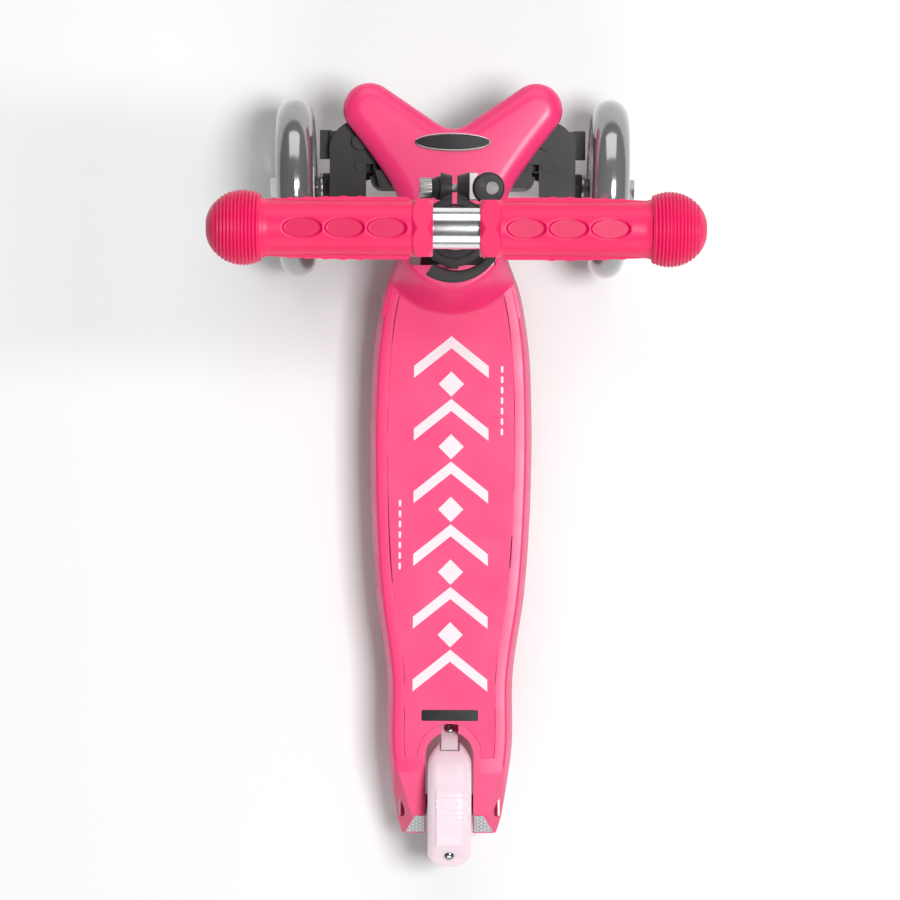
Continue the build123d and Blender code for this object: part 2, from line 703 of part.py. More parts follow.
def bearings(width):
    half = width / 2 - 0.2
    bearing = rod_x(bearing_r, half - bearing_w, half) - rod_x(axle_r + running, 0, half + 1)
    groove = rod_x(9.2, half - 0.6, half + 1) - rod_x(6.2, half - 1, half + 2)
    return both(bearing - groove)


def spacer(width):
    half = width / 2 - 0.2 - bearing_w
    return rod_x(6.0, -half, half) - rod_x(axle_r + running, -half - 1, half + 1)


def hex_prism(across, low, high):
    """Six-sided prism along X."""
    return Pos(low, 0, 0) * turn_to_x * extrude(RegularPolygon(across / 2, 6, major_radius=False), high - low)


def right_axle_bolt():
    """Through bolt: six-sided head outside the wheel, threaded end in a nut inside the knuckle."""
    out = front_wheel_w / 2 + washer_out
    end = boss_face_x - front_track / 2 - 5.5
    return front_place * (rod_x(axle_r, end, out) + hex_prism(hex_bolt_af, out, out + 4))


def right_axle_nut():
    seat = boss_face_x - front_track / 2 - 0.4
    return front_place * (hex_prism(hex_bolt_af, seat - 4.4, seat) - rod_x(axle_r + fitted, -60, 0))


def right_axle_washers():
    half = front_wheel_w / 2
    inner = rod_x(7, -half - washer_w, -half - 0.05) + rod_x(9.2, -half - washer_w, -half - washer_w + 2)
    outer = rod_x(7.5, half + 0.05, half + washer_out)
    both_washers = inner + outer - rod_x(axle_r + fitted, -40, 40)
    return front_place * both_washers


def rear_axle():
    return rear_place * rod_x(axle_r, -bolt_seat_x - 1, bolt_seat_x + 1)


def rear_axle_bolts():
    head = rod_x(6.4, bolt_seat_x, bolt_seat_x + 4) - rod_x(axle_r + fitted, 0, bolt_seat_x + 1.1)
    socket = hex_prism(5.0, bolt_seat_x + 1.6, bolt_seat_x + 6)
    return rear_place * both(head - socket)


def rear_washers():
    half = rear_wheel_w / 2
    washer = rod_x(7, half - 0.15, slot_half - fitted) - rod_x(axle_r + fitted, 0, slot_half)
    return rear_place * both(washer)


# ---------------------------------------------------------------- brake
def arc_band(inner_r, outer_r, low_deg, high_deg, half_w):
    """Part of a tube about the rear axle, between two angles counted from straight ahead."""
    ring = rod_x(outer_r, -half_w, half_w) - rod_x(inner_r, -half_w - 1, half_w + 1)
    far = outer_r * 3
    corners = [(0, 0)]
    for share in (0, 0.5, 1):
        turn = math.radians(low_deg + (high_deg - low_deg) * share)
        corners.append((far * math.cos(turn), far * math.sin(turn)))
    wedge = extrude(make_face(Plane.YZ * Polyline(*corners, close=True)), half_w + 1, both=True)
    return ring & wedge


def brake_fender():
    """Mudguard over the rear wheel that is trodden on to brake."""
    half = fender_w / 2
    band = rear_place * arc_band(fender_in_r, fender_out_r, fender_front_deg, fender_rear_deg, half + 1)
    outline = Pos(0, fender_tip_y) * Circle(fender_tip_r) & Pos(0, fender_tip_y) * Rectangle(fender_w, 90)
    outline += make_face(Polyline((-half, fender_tip_y), (-half, hinge_y - 7), (-tab_w / 2, hinge_y),
                                  (tab_w / 2, hinge_y), (half, hinge_y - 7), (half, fender_tip_y), close=True))
    body = band & extrude(outline, 3 * fender_out_r)
    body += rear_place * arc_band(fender_out_r - 0.1, fender_out_r + 0.9, 72, 121, 9.5)
    body -= block(-20, 20, hinge_y - gap / 2, hinge_y + 30, 0, 120)
    return body - rod(rivet_r, 50, 120, 0, rivet_y)


def brake_tab():
    """Sloping front of the mudguard's tongue, screwed to the deck; the tongue flexes at its upper end."""
    tab = tab_place * block(-tab_w / 2, tab_w / 2, -tab_long - 1, 0, -tab_thick, 0)
    tab &= block(-20, 20, hinge_y + gap / 2, -100, 0, 120)
    return tab - tab_place * rod(screw_r + fitted, -30, 30, 0, screw_along)


def brake_screw():
    screw = rod(screw_r, -screw_long + 0.5, 1, 0, screw_along) + rod(3.6, 0, 1.8, 0, screw_along)
    return tab_place * screw


def brake_pad():
    return rear_place * arc_band(fender_in_r - 1.4, fender_in_r, 75, 105, 8)


def brake_rivet():
    """Domed rivet: its shank fills the hole and its head lies on the mudguard."""
    top = rear_wheel_r + math.sqrt(fender_out_r**2 - (rivet_y - rear_axle_y) ** 2)
    head = rod(3.5, top - 4.5, top + 2, 0, rivet_y) - rear_place * rod_x(fender_out_r, -20, 20)
    shank = rod(rivet_r - fitted, top - 9, top + 1, 0, rivet_y) - rear_place * rod_x(fender_in_r - 0.8, -20, 20)
    return head + shank


# ---------------------------------------------------------------- the whole scooter
def nodes():
    made = {}
    right = {
        "tyre": front_place * tyre(front_wheel_r, front_wheel_w, tread_depth),
        "hub": front_place * hub(front_wheel_r, front_wheel_w, tread_depth),
        "bearings": front_place * bearings(front_wheel_w),
        "spacer": front_place * spacer(front_wheel_w),
        "axle_bolt": right_axle_bolt(),
        "axle_nut": right_axle_nut(),
        "axle_washers": right_axle_washers(),
        "knuckle": right_knuckle(),
        "tie_pin": right_tie_pin(),
    }
    for name, shape in right.items():
        made["right_" + name] = shape
        made["left_" + name] = mirrored(shape)
    made["rear_tyre"] = rear_place * tyre(rear_wheel_r, rear_wheel_w, rear_tread_depth)
    made["rear_hub"] = rear_place * hub(rear_wheel_r, rear_wheel_w, rear_tread_depth)
    made["rear_bearings"] = rear_place * bearings(rear_wheel_w)
    made["rear_spacer"] = rear_place * spacer(rear_wheel_w)
    grip_right, grip_left = both_ends(right_grip())
    made["right_grip"], made["left_grip"] = grip_right, grip_left
    single = [
        deck_shell, deck_pad, deck_graphics, brake_label, badge_plate, badge_rim, tail_reflectors,
        front_carrier, carrier_screws, kingpins, tie_bar, steering_head, head_bushes, head_shutter,
        column_outer, guide_bush, lock_button, button_spring, column_inner, crossbar, clamp_collar,
        clamp_bolt, clamp_nut, dome_washer, saddle_washer, clamp_lever, lever_pin, bar_plugs,
        rear_axle, rear_axle_bolts, rear_washers,
        brake_fender, brake_tab, brake_screw, brake_pad, brake_rivet,
    ]
    for make in single:
        made[make.__name__] = make()
    return made


os.makedirs("parts", exist_ok=True)
for name, shape in nodes().items():
    export_step(shape, "parts/" + name + ".step")
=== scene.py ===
import json
import math
import bmesh
import bpy
import numpy as np
from mathutils import Matrix, Vector


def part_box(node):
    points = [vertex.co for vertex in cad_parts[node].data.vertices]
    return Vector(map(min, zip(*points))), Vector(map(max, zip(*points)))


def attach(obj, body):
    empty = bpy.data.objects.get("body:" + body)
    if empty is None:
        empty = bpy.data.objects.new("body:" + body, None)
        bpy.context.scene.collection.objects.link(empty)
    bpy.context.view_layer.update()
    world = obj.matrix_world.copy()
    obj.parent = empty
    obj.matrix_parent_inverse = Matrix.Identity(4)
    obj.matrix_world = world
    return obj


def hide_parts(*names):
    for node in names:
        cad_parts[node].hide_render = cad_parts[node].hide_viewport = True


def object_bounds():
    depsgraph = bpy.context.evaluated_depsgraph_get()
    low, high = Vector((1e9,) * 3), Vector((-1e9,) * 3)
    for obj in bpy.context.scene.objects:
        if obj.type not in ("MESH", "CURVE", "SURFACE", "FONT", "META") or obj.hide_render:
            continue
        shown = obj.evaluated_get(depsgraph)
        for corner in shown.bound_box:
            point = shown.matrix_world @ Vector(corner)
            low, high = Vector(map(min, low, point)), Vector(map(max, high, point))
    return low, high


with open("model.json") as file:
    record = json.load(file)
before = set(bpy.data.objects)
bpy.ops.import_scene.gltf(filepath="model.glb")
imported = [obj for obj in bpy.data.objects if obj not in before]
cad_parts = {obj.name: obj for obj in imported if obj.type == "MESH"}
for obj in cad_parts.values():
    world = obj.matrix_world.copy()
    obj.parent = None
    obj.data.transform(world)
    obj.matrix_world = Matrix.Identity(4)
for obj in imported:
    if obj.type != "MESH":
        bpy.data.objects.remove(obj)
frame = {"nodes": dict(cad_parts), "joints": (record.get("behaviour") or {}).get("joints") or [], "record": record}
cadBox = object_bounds()
mm = 0.001
joints = {joint["name"]: joint for joint in frame["joints"]}
mounts = {mount["name"]: mount for mount in frame["record"]["mounts"]}
print("frame loaded:", len(frame["nodes"]), "nodes")


# places, taken from the frame

# A point and three directions: x along the first way given, z as near the second as it goes
def placing(origin, along, up):
    x = np.array(along, float) / np.linalg.norm(along)
    y = np.cross(up, x)
    y /= np.linalg.norm(y)
    return np.array(origin, float) / mm, np.array([x, y, np.cross(x, y)])


# Local points carried into the scooter: origin plus each coordinate times its direction
def placed(points, place):
    return place[0] + np.asarray(points, float) @ place[1]


# A wheel's place: x along its axle, z up
def spinPlace(side):
    joint = joints[side + "_wheel_spin"]
    return placing(joint["pos_m"], joint["axis"], (0, 0, 1))


# The lowest and highest corner of a CAD node, in mm
def boxMm(node):
    low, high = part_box(node)
    return np.array(low) / mm, np.array(high) / mm


columnWay = joints["height_slide"]["axis"]
columnPlace = placing(joints["head_lean"]["pos_m"], (1, 0, 0), columnWay)
barPlace = placing(mounts["bar_centre"]["pos_m"], (1, 0, 0), columnWay)


# meshes from arrays

# Four-sided faces between neighbours of a grid, which closes on itself where asked
def gridFaces(rows, cols, roundRows=False, roundCols=False):
    row = np.arange(rows if roundRows else rows - 1)[:, None]
    col = np.arange(cols if roundCols else cols - 1)[None, :]
    nextRow, nextCol = (row + 1) % rows, (col + 1) % cols
    corners = [row * cols + col, row * cols + nextCol, nextRow * cols + nextCol, nextRow * cols + col]
    return np.stack(corners, -1).reshape(-1, 4).tolist()


# A solid from a stack of equal closed loops: rows of the grid, with a flat cap at both ends
def stackedLoops(loops):
    rows, cols = loops.shape[:2]
    faces = gridFaces(rows, cols, False, True)
    faces.append(list(range(cols)))
    faces.append(list(range((rows - 1) * cols, rows * cols)))
    return loops.reshape(-1, 3), faces


# A profile of (x, radius) pairs carried round x: y = radius cos t, z = radius sin t
def turned(profile, count=96):
    profile = np.asarray(profile, float)
    turn = np.linspace(0, 2 * np.pi, count, endpoint=False)
    x = np.repeat(profile[:, :1], count, 1)
    return np.stack([x, profile[:, 1:] * np.cos(turn), profile[:, 1:] * np.sin(turn)], -1).reshape(-1, 3)


# A closed outline with its corners drawn off: each gives p - r a (1-t)^2 + r b t^2 for t from 0 to 1, where
# a and b are the ways into and out of the corner
def softCorners(corners, reach, steps=5):
    corners = np.asarray(corners, float)
    into = corners - np.roll(corners, 1, 0)
    out = np.roll(corners, -1, 0) - corners
    longIn, longOut = np.linalg.norm(into, axis=1), np.linalg.norm(out, axis=1)
    r = np.minimum(np.broadcast_to(reach, longIn.shape), 0.45 * np.minimum(longIn, longOut))
    a, b = into / longIn[:, None] * r[:, None], out / longOut[:, None] * r[:, None]
    t = np.linspace(0, 1, steps)[None, :, None]
    return (corners[:, None] - a[:, None] * (1 - t) ** 2 + b[:, None] * t**2).reshape(-1, corners.shape[1])


# Points and faces of a closed profile turned about x
def ringSolid(profile, count=96):
    return turned(profile, count), gridFaces(len(profile), count, True, True)


# A closed mesh from points in mm: doubles merged, faces turned outwards, flat ends cut into triangles
def rawMesh(name, points, faces, paintedShade=None):
    mesh = bpy.data.meshes.new(name)
    mesh.from_pydata((np.asarray(points, float) * mm).tolist(), [], faces)
    # optional painted shade share per point, kept as a mesh attribute for the material to darken recesses
    if paintedShade is not None:
        mesh.attributes.new("paintedShade", "FLOAT", "POINT").data.foreach_set("value", paintedShade)
    work = bmesh.new()
    work.from_mesh(mesh)
    bmesh.ops.remove_doubles(work, verts=work.verts, dist=0.000004)
    bmesh.ops.recalc_face_normals(work, faces=work.faces)
    bmesh.ops.triangulate(work, faces=[face for face in work.faces if len(face.verts) > 4])
    work.to_mesh(mesh)
    work.free()
    piece = bpy.data.objects.new(name, mesh)
    bpy.context.scene.collection.objects.link(piece)
    return piece


# A finished piece: shading, material, the body it rides on and the nodes that it replaces
def makePiece(name, shape, finish, body, nodes, sharp=35):
    piece = rawMesh(name, *shape) if isinstance(shape, tuple) else shape
    piece.name = name
    piece.data.shade_smooth()
    piece.data.set_sharp_from_angle(angle=math.radians(sharp))
    piece.data.materials.clear()
    piece.data.materials.append(finish)
    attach(piece, body)
    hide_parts(*nodes)
    return piece


# Joins or cuts one solid with another and keeps the result as plain mesh
def combine(piece, tool, how="DIFFERENCE"):
    change = piece.modifiers.new("change", "BOOLEAN")
    change.object, change.operation, change.solver = tool, how, "EXACT"
    depsgraph = bpy.context.evaluated_depsgraph_get()
    mesh = bpy.data.meshes.new_from_object(piece.evaluated_get(depsgraph))
    piece.modifiers.clear()
    piece.data = mesh
    bpy.data.objects.remove(tool)
    return piece


# Edges sharper than the angle drawn off with a live bevel
def drawnOff(piece, width, segments, angle):
    bevel = piece.modifiers.new("edges", "BEVEL")
    bevel.width, bevel.segments = width * mm, segments
    bevel.limit_method, bevel.angle_limit = "ANGLE", math.radians(angle)


# surface effects shared by the materials

# A node group with its sockets, and its two end nodes
def newGroup(name, inputs, outputs):
    group = bpy.data.node_groups.new(name, "ShaderNodeTree")
    for label, kind, value in inputs:
        socket = group.interface.new_socket(name=label, in_out="INPUT", socket_type="NodeSocket" + kind)
        if value is not None:
            socket.default_value = value
    for label, kind in outputs:
        group.interface.new_socket(name=label, in_out="OUTPUT", socket_type="NodeSocket" + kind)
    return group, group.nodes.new("NodeGroupInput"), group.nodes.new("NodeGroupOutput")


# One Math node between two numbers or sockets
def mathNode(tree, operation, first, second=None):
    node = tree.nodes.new("ShaderNodeMath")
    node.operation = operation
    for index, value in enumerate((first, second)):
        if isinstance(value, (int, float)):
            node.inputs[index].default_value = value
        elif value is not None:
            tree.links.new(value, node.inputs[index])
    return node.outputs[0]


# A value moved from one range to another: ends are from low, from high, to low, to high
def rangeNode(tree, value, *ends):
    node = tree.nodes.new("ShaderNodeMapRange")
    tree.links.new(value, node.inputs["Value"])
    for label, end in zip(("From Min", "From Max", "To Min", "To Max"), ends):
        node.inputs[label].default_value = end
    return node.outputs["Result"]


# One Noise Texture over the given coordinates
def noiseNode(tree, vector, scale, detail=2.0, rough=0.5):
    node = tree.nodes.new("ShaderNodeTexNoise")
    tree.links.new(vector, node.inputs["Vector"])
    if isinstance(scale, (int, float)):
        node.inputs["Scale"].default_value = scale
    else:
        tree.links.new(scale, node.inputs["Scale"])
    node.inputs["Detail"].default_value = detail
    node.inputs["Roughness"].default_value = rough
    return node.outputs["Fac"]


# Two colours or sockets mixed by a share
def mixNode(tree, share, first, second):
    node = tree.nodes.new("ShaderNodeMix")
    node.data_type = "RGBA"
    tree.links.new(share, node.inputs[0])
    for index, colour in ((6, first), (7, second)):
        if isinstance(colour, bpy.types.NodeSocket):
            tree.links.new(colour, node.inputs[index])
        else:
            node.inputs[index].default_value = (*colour, 1.0)
    return node.outputs[2]


# Fine spark-eroded grain: two noises, the second nearly five times finer, and a slow drift for the gloss
def mouldGrain():
    inputs = [("Vector", "Vector", None), ("Scale", "Float", 900.0)]
    group, start, end = newGroup("mouldGrain", inputs, [("Height", "Float"), ("Drift", "Float")])
    coarse = noiseNode(group, start.outputs["Vector"], start.outputs["Scale"], 3.0)
    finerScale = mathNode(group, "MULTIPLY", start.outputs["Scale"], 4.7)
    fine = noiseNode(group, start.outputs["Vector"], finerScale, 1.0)
    coarsePart, finePart = mathNode(group, "MULTIPLY", coarse, 0.7), mathNode(group, "MULTIPLY", fine, 0.3)
    height = mathNode(group, "ADD", coarsePart, finePart)
    group.links.new(height, end.inputs["Height"])
    slowScale = mathNode(group, "MULTIPLY", start.outputs["Scale"], 0.022)
    group.links.new(noiseNode(group, start.outputs["Vector"], slowScale, 4.0, 0.6), end.inputs["Drift"])
    return group


# Thin scratches: noise pulled long across the piece, kept only where it passes a narrow band
def handlingWear():
    inputs = [("Vector", "Vector", None), ("Scale", "Float", 60.0), ("Amount", "Float", 0.5)]
    group, start, end = newGroup("handlingWear", inputs, [("Mask", "Float")])
    masks = []
    for turn in (0.5, -0.9):
        mapping = group.nodes.new("ShaderNodeMapping")
        mapping.inputs["Rotation"].default_value = (0.1, 0.2, turn)
        mapping.inputs["Scale"].default_value = (1.0, 16.0, 4.0)
        group.links.new(start.outputs["Vector"], mapping.inputs["Vector"])
        lines = noiseNode(group, mapping.outputs["Vector"], start.outputs["Scale"], 2.0, 0.4)
        near = mathNode(group, "ABSOLUTE", mathNode(group, "SUBTRACT", lines, 0.62))
        masks.append(rangeNode(group, near, 0.0, 0.012, 1.0, 0.0))
    patches = rangeNode(group, noiseNode(group, start.outputs["Vector"], 23.0, 2.0), 0.5, 0.7, 0.0, 1.0)
    both = mathNode(group, "MULTIPLY", mathNode(group, "MAXIMUM", *masks), patches)
    group.links.new(mathNode(group, "MULTIPLY", both, start.outputs["Amount"]), end.inputs["Mask"])
    return group


# Fine lines left by polishing or drawing: noise squeezed along one direction
def brushLines():
    inputs = [("Vector", "Vector", None), ("Stretch", "Vector", (1.0, 1.0, 1.0)), ("Scale", "Float", 400.0)]
    group, start, end = newGroup("brushLines", inputs, [("Height", "Float")])
    stretched = group.nodes.new("ShaderNodeVectorMath")
    stretched.operation = "MULTIPLY"
    group.links.new(start.outputs["Vector"], stretched.inputs[0])
    group.links.new(start.outputs["Stretch"], stretched.inputs[1])
    group.links.new(noiseNode(group, stretched.outputs[0], start.outputs["Scale"], 2.0), end.inputs["Height"])
    return group


# Hexagon cells: the sum of three cosines whose directions stand 60 degrees apart
def cellFilm():
    inputs = [("Vector", "Vector", None), ("Pitch", "Float", 2.0)]
    group, start, end = newGroup("cellFilm", inputs, [("Cells", "Float")])
    waves = []
    for turn in (0.0, 60.0, 120.0):
        along = group.nodes.new("ShaderNodeVectorMath")
        along.operation = "DOT_PRODUCT"
        group.links.new(start.outputs["Vector"], along.inputs[0])
        along.inputs[1].default_value = (math.cos(math.radians(turn)), math.sin(math.radians(turn)), 0.0)
        phase = mathNode(group, "MULTIPLY", along.outputs["Value"], start.outputs["Pitch"])
        waves.append(mathNode(group, "COSINE", phase))
    total = mathNode(group, "ADD", mathNode(group, "ADD", waves[0], waves[1]), waves[2])
    group.links.new(rangeNode(group, total, -1.3, -0.4, 0.0, 1.0), end.inputs["Cells"])
    return group


grain, wear, brush, film = mouldGrain(), handlingWear(), brushLines(), cellFilm()


# One Principled shader: its colour drifts towards a second one, its gloss follows the drift and the
# scratches, and its bump is the grain
def makeFinish(name, look):
    material = bpy.data.materials.new(name)
    material.use_nodes = True
    tree = material.node_tree
    shader = tree.nodes["Principled BSDF"]
    coords = tree.nodes.new("ShaderNodeTexCoord").outputs["Object"]

    # one shared effect, read at the piece's own coordinates
    def groupNode(group, **values):
        node = tree.nodes.new("ShaderNodeGroup")
        node.node_tree = group
        tree.links.new(coords, node.inputs["Vector"])
        for label, value in values.items():
            node.inputs[label].default_value = value
        return node

    grainNode = groupNode(grain, Scale=look.get("grainScale", 900.0))
    wearNode = groupNode(wear, Amount=look.get("wear", 0.3))
    deep = look.get("deep", [part * 0.82 for part in look["colour"]])
    share = rangeNode(tree, grainNode.outputs["Drift"], 0.3, 0.7, 0.0, look.get("drift", 0.5))
    colour = mixNode(tree, share, look["colour"], deep)
    # painted shade: colour pulled towards a darker one where the mesh's shade attribute is set (grip dimples, ball
    # grooves)
    if "paintedShade" in look:
        inside = tree.nodes.new("ShaderNodeAttribute")
        inside.attribute_name = "paintedShade"
        colour = mixNode(tree, inside.outputs["Fac"], colour, look["paintedShade"])
    if "wearColour" in look:
        colour = mixNode(tree, wearNode.outputs["Mask"], colour, look["wearColour"])
    if "cells" in look:
        cellNode = groupNode(film, Pitch=look["cells"])
        colour = mixNode(tree, cellNode.outputs["Cells"], look["cellLine"], colour)
    tree.links.new(colour, shader.inputs["Base Color"])
    rough = look["rough"]
    spread = look.get("spread", 0.06)
    gloss = rangeNode(tree, grainNode.outputs["Drift"], 0.3, 0.7, rough - spread, rough + spread)
    gloss = mathNode(tree, "ADD", gloss, mathNode(tree, "MULTIPLY", wearNode.outputs["Mask"], 0.25))
    tree.links.new(gloss, shader.inputs["Roughness"])
    height = grainNode.outputs["Height"]
    if "stretch" in look:
        height = groupNode(brush, Stretch=look["stretch"]).outputs["Height"]
    bump = tree.nodes.new("ShaderNodeBump")
    bump.inputs["Strength"].default_value = look.get("bump", 0.15)
    bump.inputs["Distance"].default_value = look.get("bumpDeep", 0.0002)
    tree.links.new(height, bump.inputs["Height"])
    tree.links.new(bump.outputs["Normal"], shader.inputs["Normal"])
    for label, value in look.get("sockets", {}).items():
        shader.inputs[label].default_value = value
    return material


looks = {  # what each finish looks like; colours are linear
    "pink_plastic": dict(
        colour=(0.90, 0.040, 0.19), deep=(0.86, 0.034, 0.17), rough=0.4, bump=0.12, grainScale=1100.0,
        wear=0.08, wearColour=(0.95, 0.16, 0.32),
        sockets={"Coat Weight": 0.12, "Coat Roughness": 0.25, "Subsurface Weight": 0.04,
                 "Subsurface Scale": 0.004}),
    "pink_tread": dict(
        colour=(0.90, 0.040, 0.19), deep=(0.86, 0.034, 0.17), rough=0.5, bump=0.35, grainScale=1500.0,
        wear=0.1, wearColour=(0.95, 0.18, 0.34)),
    "pale_print": dict(
        colour=(0.86, 0.76, 0.80), deep=(0.80, 0.69, 0.74), rough=0.48, bump=0.2, grainScale=1300.0,
        wear=0.12, wearColour=(0.80, 0.52, 0.60)),
    "black_plastic": dict(
        colour=(0.030, 0.028, 0.031), deep=(0.020, 0.019, 0.021), rough=0.46, bump=0.3, grainScale=1200.0,
        wear=0.12, wearColour=(0.07, 0.068, 0.07), sockets={"Specular IOR Level": 0.32}),
    "black_print": dict(
        colour=(0.008, 0.007, 0.009), rough=0.24, bump=0.05, wear=0.3, wearColour=(0.05, 0.05, 0.05),
        sockets={"Coat Weight": 0.5, "Coat Roughness": 0.08}),
    "reflector_film": dict(
        colour=(0.60, 0.61, 0.63), deep=(0.5, 0.51, 0.53), rough=0.24, bump=0.1,
        cells=2600.0, cellLine=(0.25, 0.26, 0.28), sockets={"Metallic": 0.35, "Coat Weight": 0.8}),
    "zinc_steel": dict(
        colour=(0.36, 0.35, 0.34), deep=(0.26, 0.25, 0.24), rough=0.34, bump=0.12, wear=0.15,
        sockets={"Metallic": 1.0}),
    "polished_steel": dict(
        colour=(0.52, 0.52, 0.52), deep=(0.44, 0.44, 0.43), rough=0.16, bump=0.04, wear=0.1,
        stretch=(60.0, 1.0, 60.0), sockets={"Metallic": 1.0}),
    "sintered_bronze": dict(
        colour=(0.42, 0.29, 0.14), rough=0.42, bump=0.3, sockets={"Metallic": 1.0}),
    "bar_aluminium": dict(
        colour=(0.86, 0.86, 0.87), deep=(0.78, 0.78, 0.80), rough=0.2, bump=0.05, stretch=(90.0, 1.0, 1.0),
        sockets={"Metallic": 1.0}),
    "pink_painted_tube": dict(
        colour=(0.80, 0.028, 0.15), deep=(0.74, 0.024, 0.13), rough=0.3, bump=0.08, wear=0.06,
        sockets={"Coat Weight": 0.6, "Coat Roughness": 0.12}),
    "pink_rubber": dict(
        # the third colour is painted shade, laid into the grips' dimples and ball grooves
        colour=(0.84, 0.020, 0.12), deep=(0.80, 0.016, 0.105), paintedShade=(0.60, 0.0, 0.075), rough=0.4,
        bump=0.3, grainScale=1600.0, wear=0.15, wearColour=(0.95, 0.13, 0.24),
        sockets={"Specular IOR Level": 0.32}),
    "clear_urethane": dict(
        colour=(0.30, 0.305, 0.31), deep=(0.25, 0.255, 0.26), rough=0.14, bump=0.03, wear=0.06,
        sockets={"Metallic": 0.55, "Coat Weight": 1.0, "Coat Roughness": 0.05}),
    "hub_plastic": dict(colour=(0.64, 0.64, 0.66), rough=0.38, bump=0.15, wear=0.2),
    "fender_plastic": dict(
        colour=(0.92, 0.74, 0.81), deep=(0.88, 0.68, 0.76), rough=0.3, bump=0.06, wear=0.0,
        sockets={"Coat Weight": 0.5, "Coat Roughness": 0.12, "IOR": 1.46, "Subsurface Weight": 0.25,
                 "Subsurface Scale": 0.004}),
    "brake_rubber": dict(colour=(0.014, 0.014, 0.014), rough=0.7, bump=0.4),
}
finishes = {slot: makeFinish(slot, look) for slot, look in looks.items()}
print("finishes made:", len(finishes))


# front and rear tyres
tyreShape = dict(
    frontWide=24.5, frontDeep=12.0, rearWide=26.0, rearDeep=10.0,  # width, and depth at the crown
    shoulder=0.96, seam=0.12, seamHalf=0.25, rimLip=0.8,
)


# Crown r = outer - depth (1 - sqrt(1 - (x / half)^2)) across the width, closed along the rim
def tyreProfile(outer, wide, deep):
    t, half = tyreShape, wide / 2
    turn = np.linspace(0, np.pi, 49)
    x, drop = half * np.cos(turn), deep * t["shoulder"] * (1 - np.sin(turn))
    crown = np.stack([x, outer - drop + t["seam"] * (np.exp(-((x / t["seamHalf"]) ** 2)) - 1)], 1)
    inner, lip = outer - deep, t["rimLip"]
    rim = [(-half, inner + 0.75 * lip), (-half + lip, inner), (half - lip, inner), (half, inner + 0.75 * lip)]
    return np.concatenate([crown, rim])


# One tyre, as large across as its CAD node and placed on its axle
def makeTyre(side, wide, deep):
    outer = (boxMm(side + "_tyre")[1] - boxMm(side + "_tyre")[0])[2] / 2
    points, faces = ringSolid(tyreProfile(outer, wide, deep), 144)
    makePiece(side + "Tyre", (placed(points, spinPlace(side)), faces), finishes["clear_urethane"],
              side + "_wheel", [side + "_tyre"])


for side in ("right", "left"):
    makeTyre(side, tyreShape["frontWide"], tyreShape["frontDeep"])
makeTyre("rear", tyreShape["rearWide"], tyreShape["rearDeep"])
print("tyres made")


# grips
gripShape = dict(  # lengths along the bar from its middle, radii from its axis
    start=12.7, flangeWide=11.4, flat=15.4, cone=0.95, body=14.9, bore=11.12, boreEnd=128.3,
    dimpleStart=37.5, dimplePitch=22.7, dimpleLong=11.0, dimpleWide=6.2, dimpleCount=3, floorHigh=13.55,
    wingOut=17.4, wingThick=1.5, wingEnd=111.0, wingTaper=46.0,
    bumpHigh=0.45, bumpPitch=9.5, bumpFrom=45.0, bumpTo=92.0,
    ball=20.6, ballX=115.4, ballBack=106.0, end=135.4, fillet=1.1, filletLong=2.2,
    ribPitch=2.0, ribDeep=0.75, ribEnd=131.5,
)
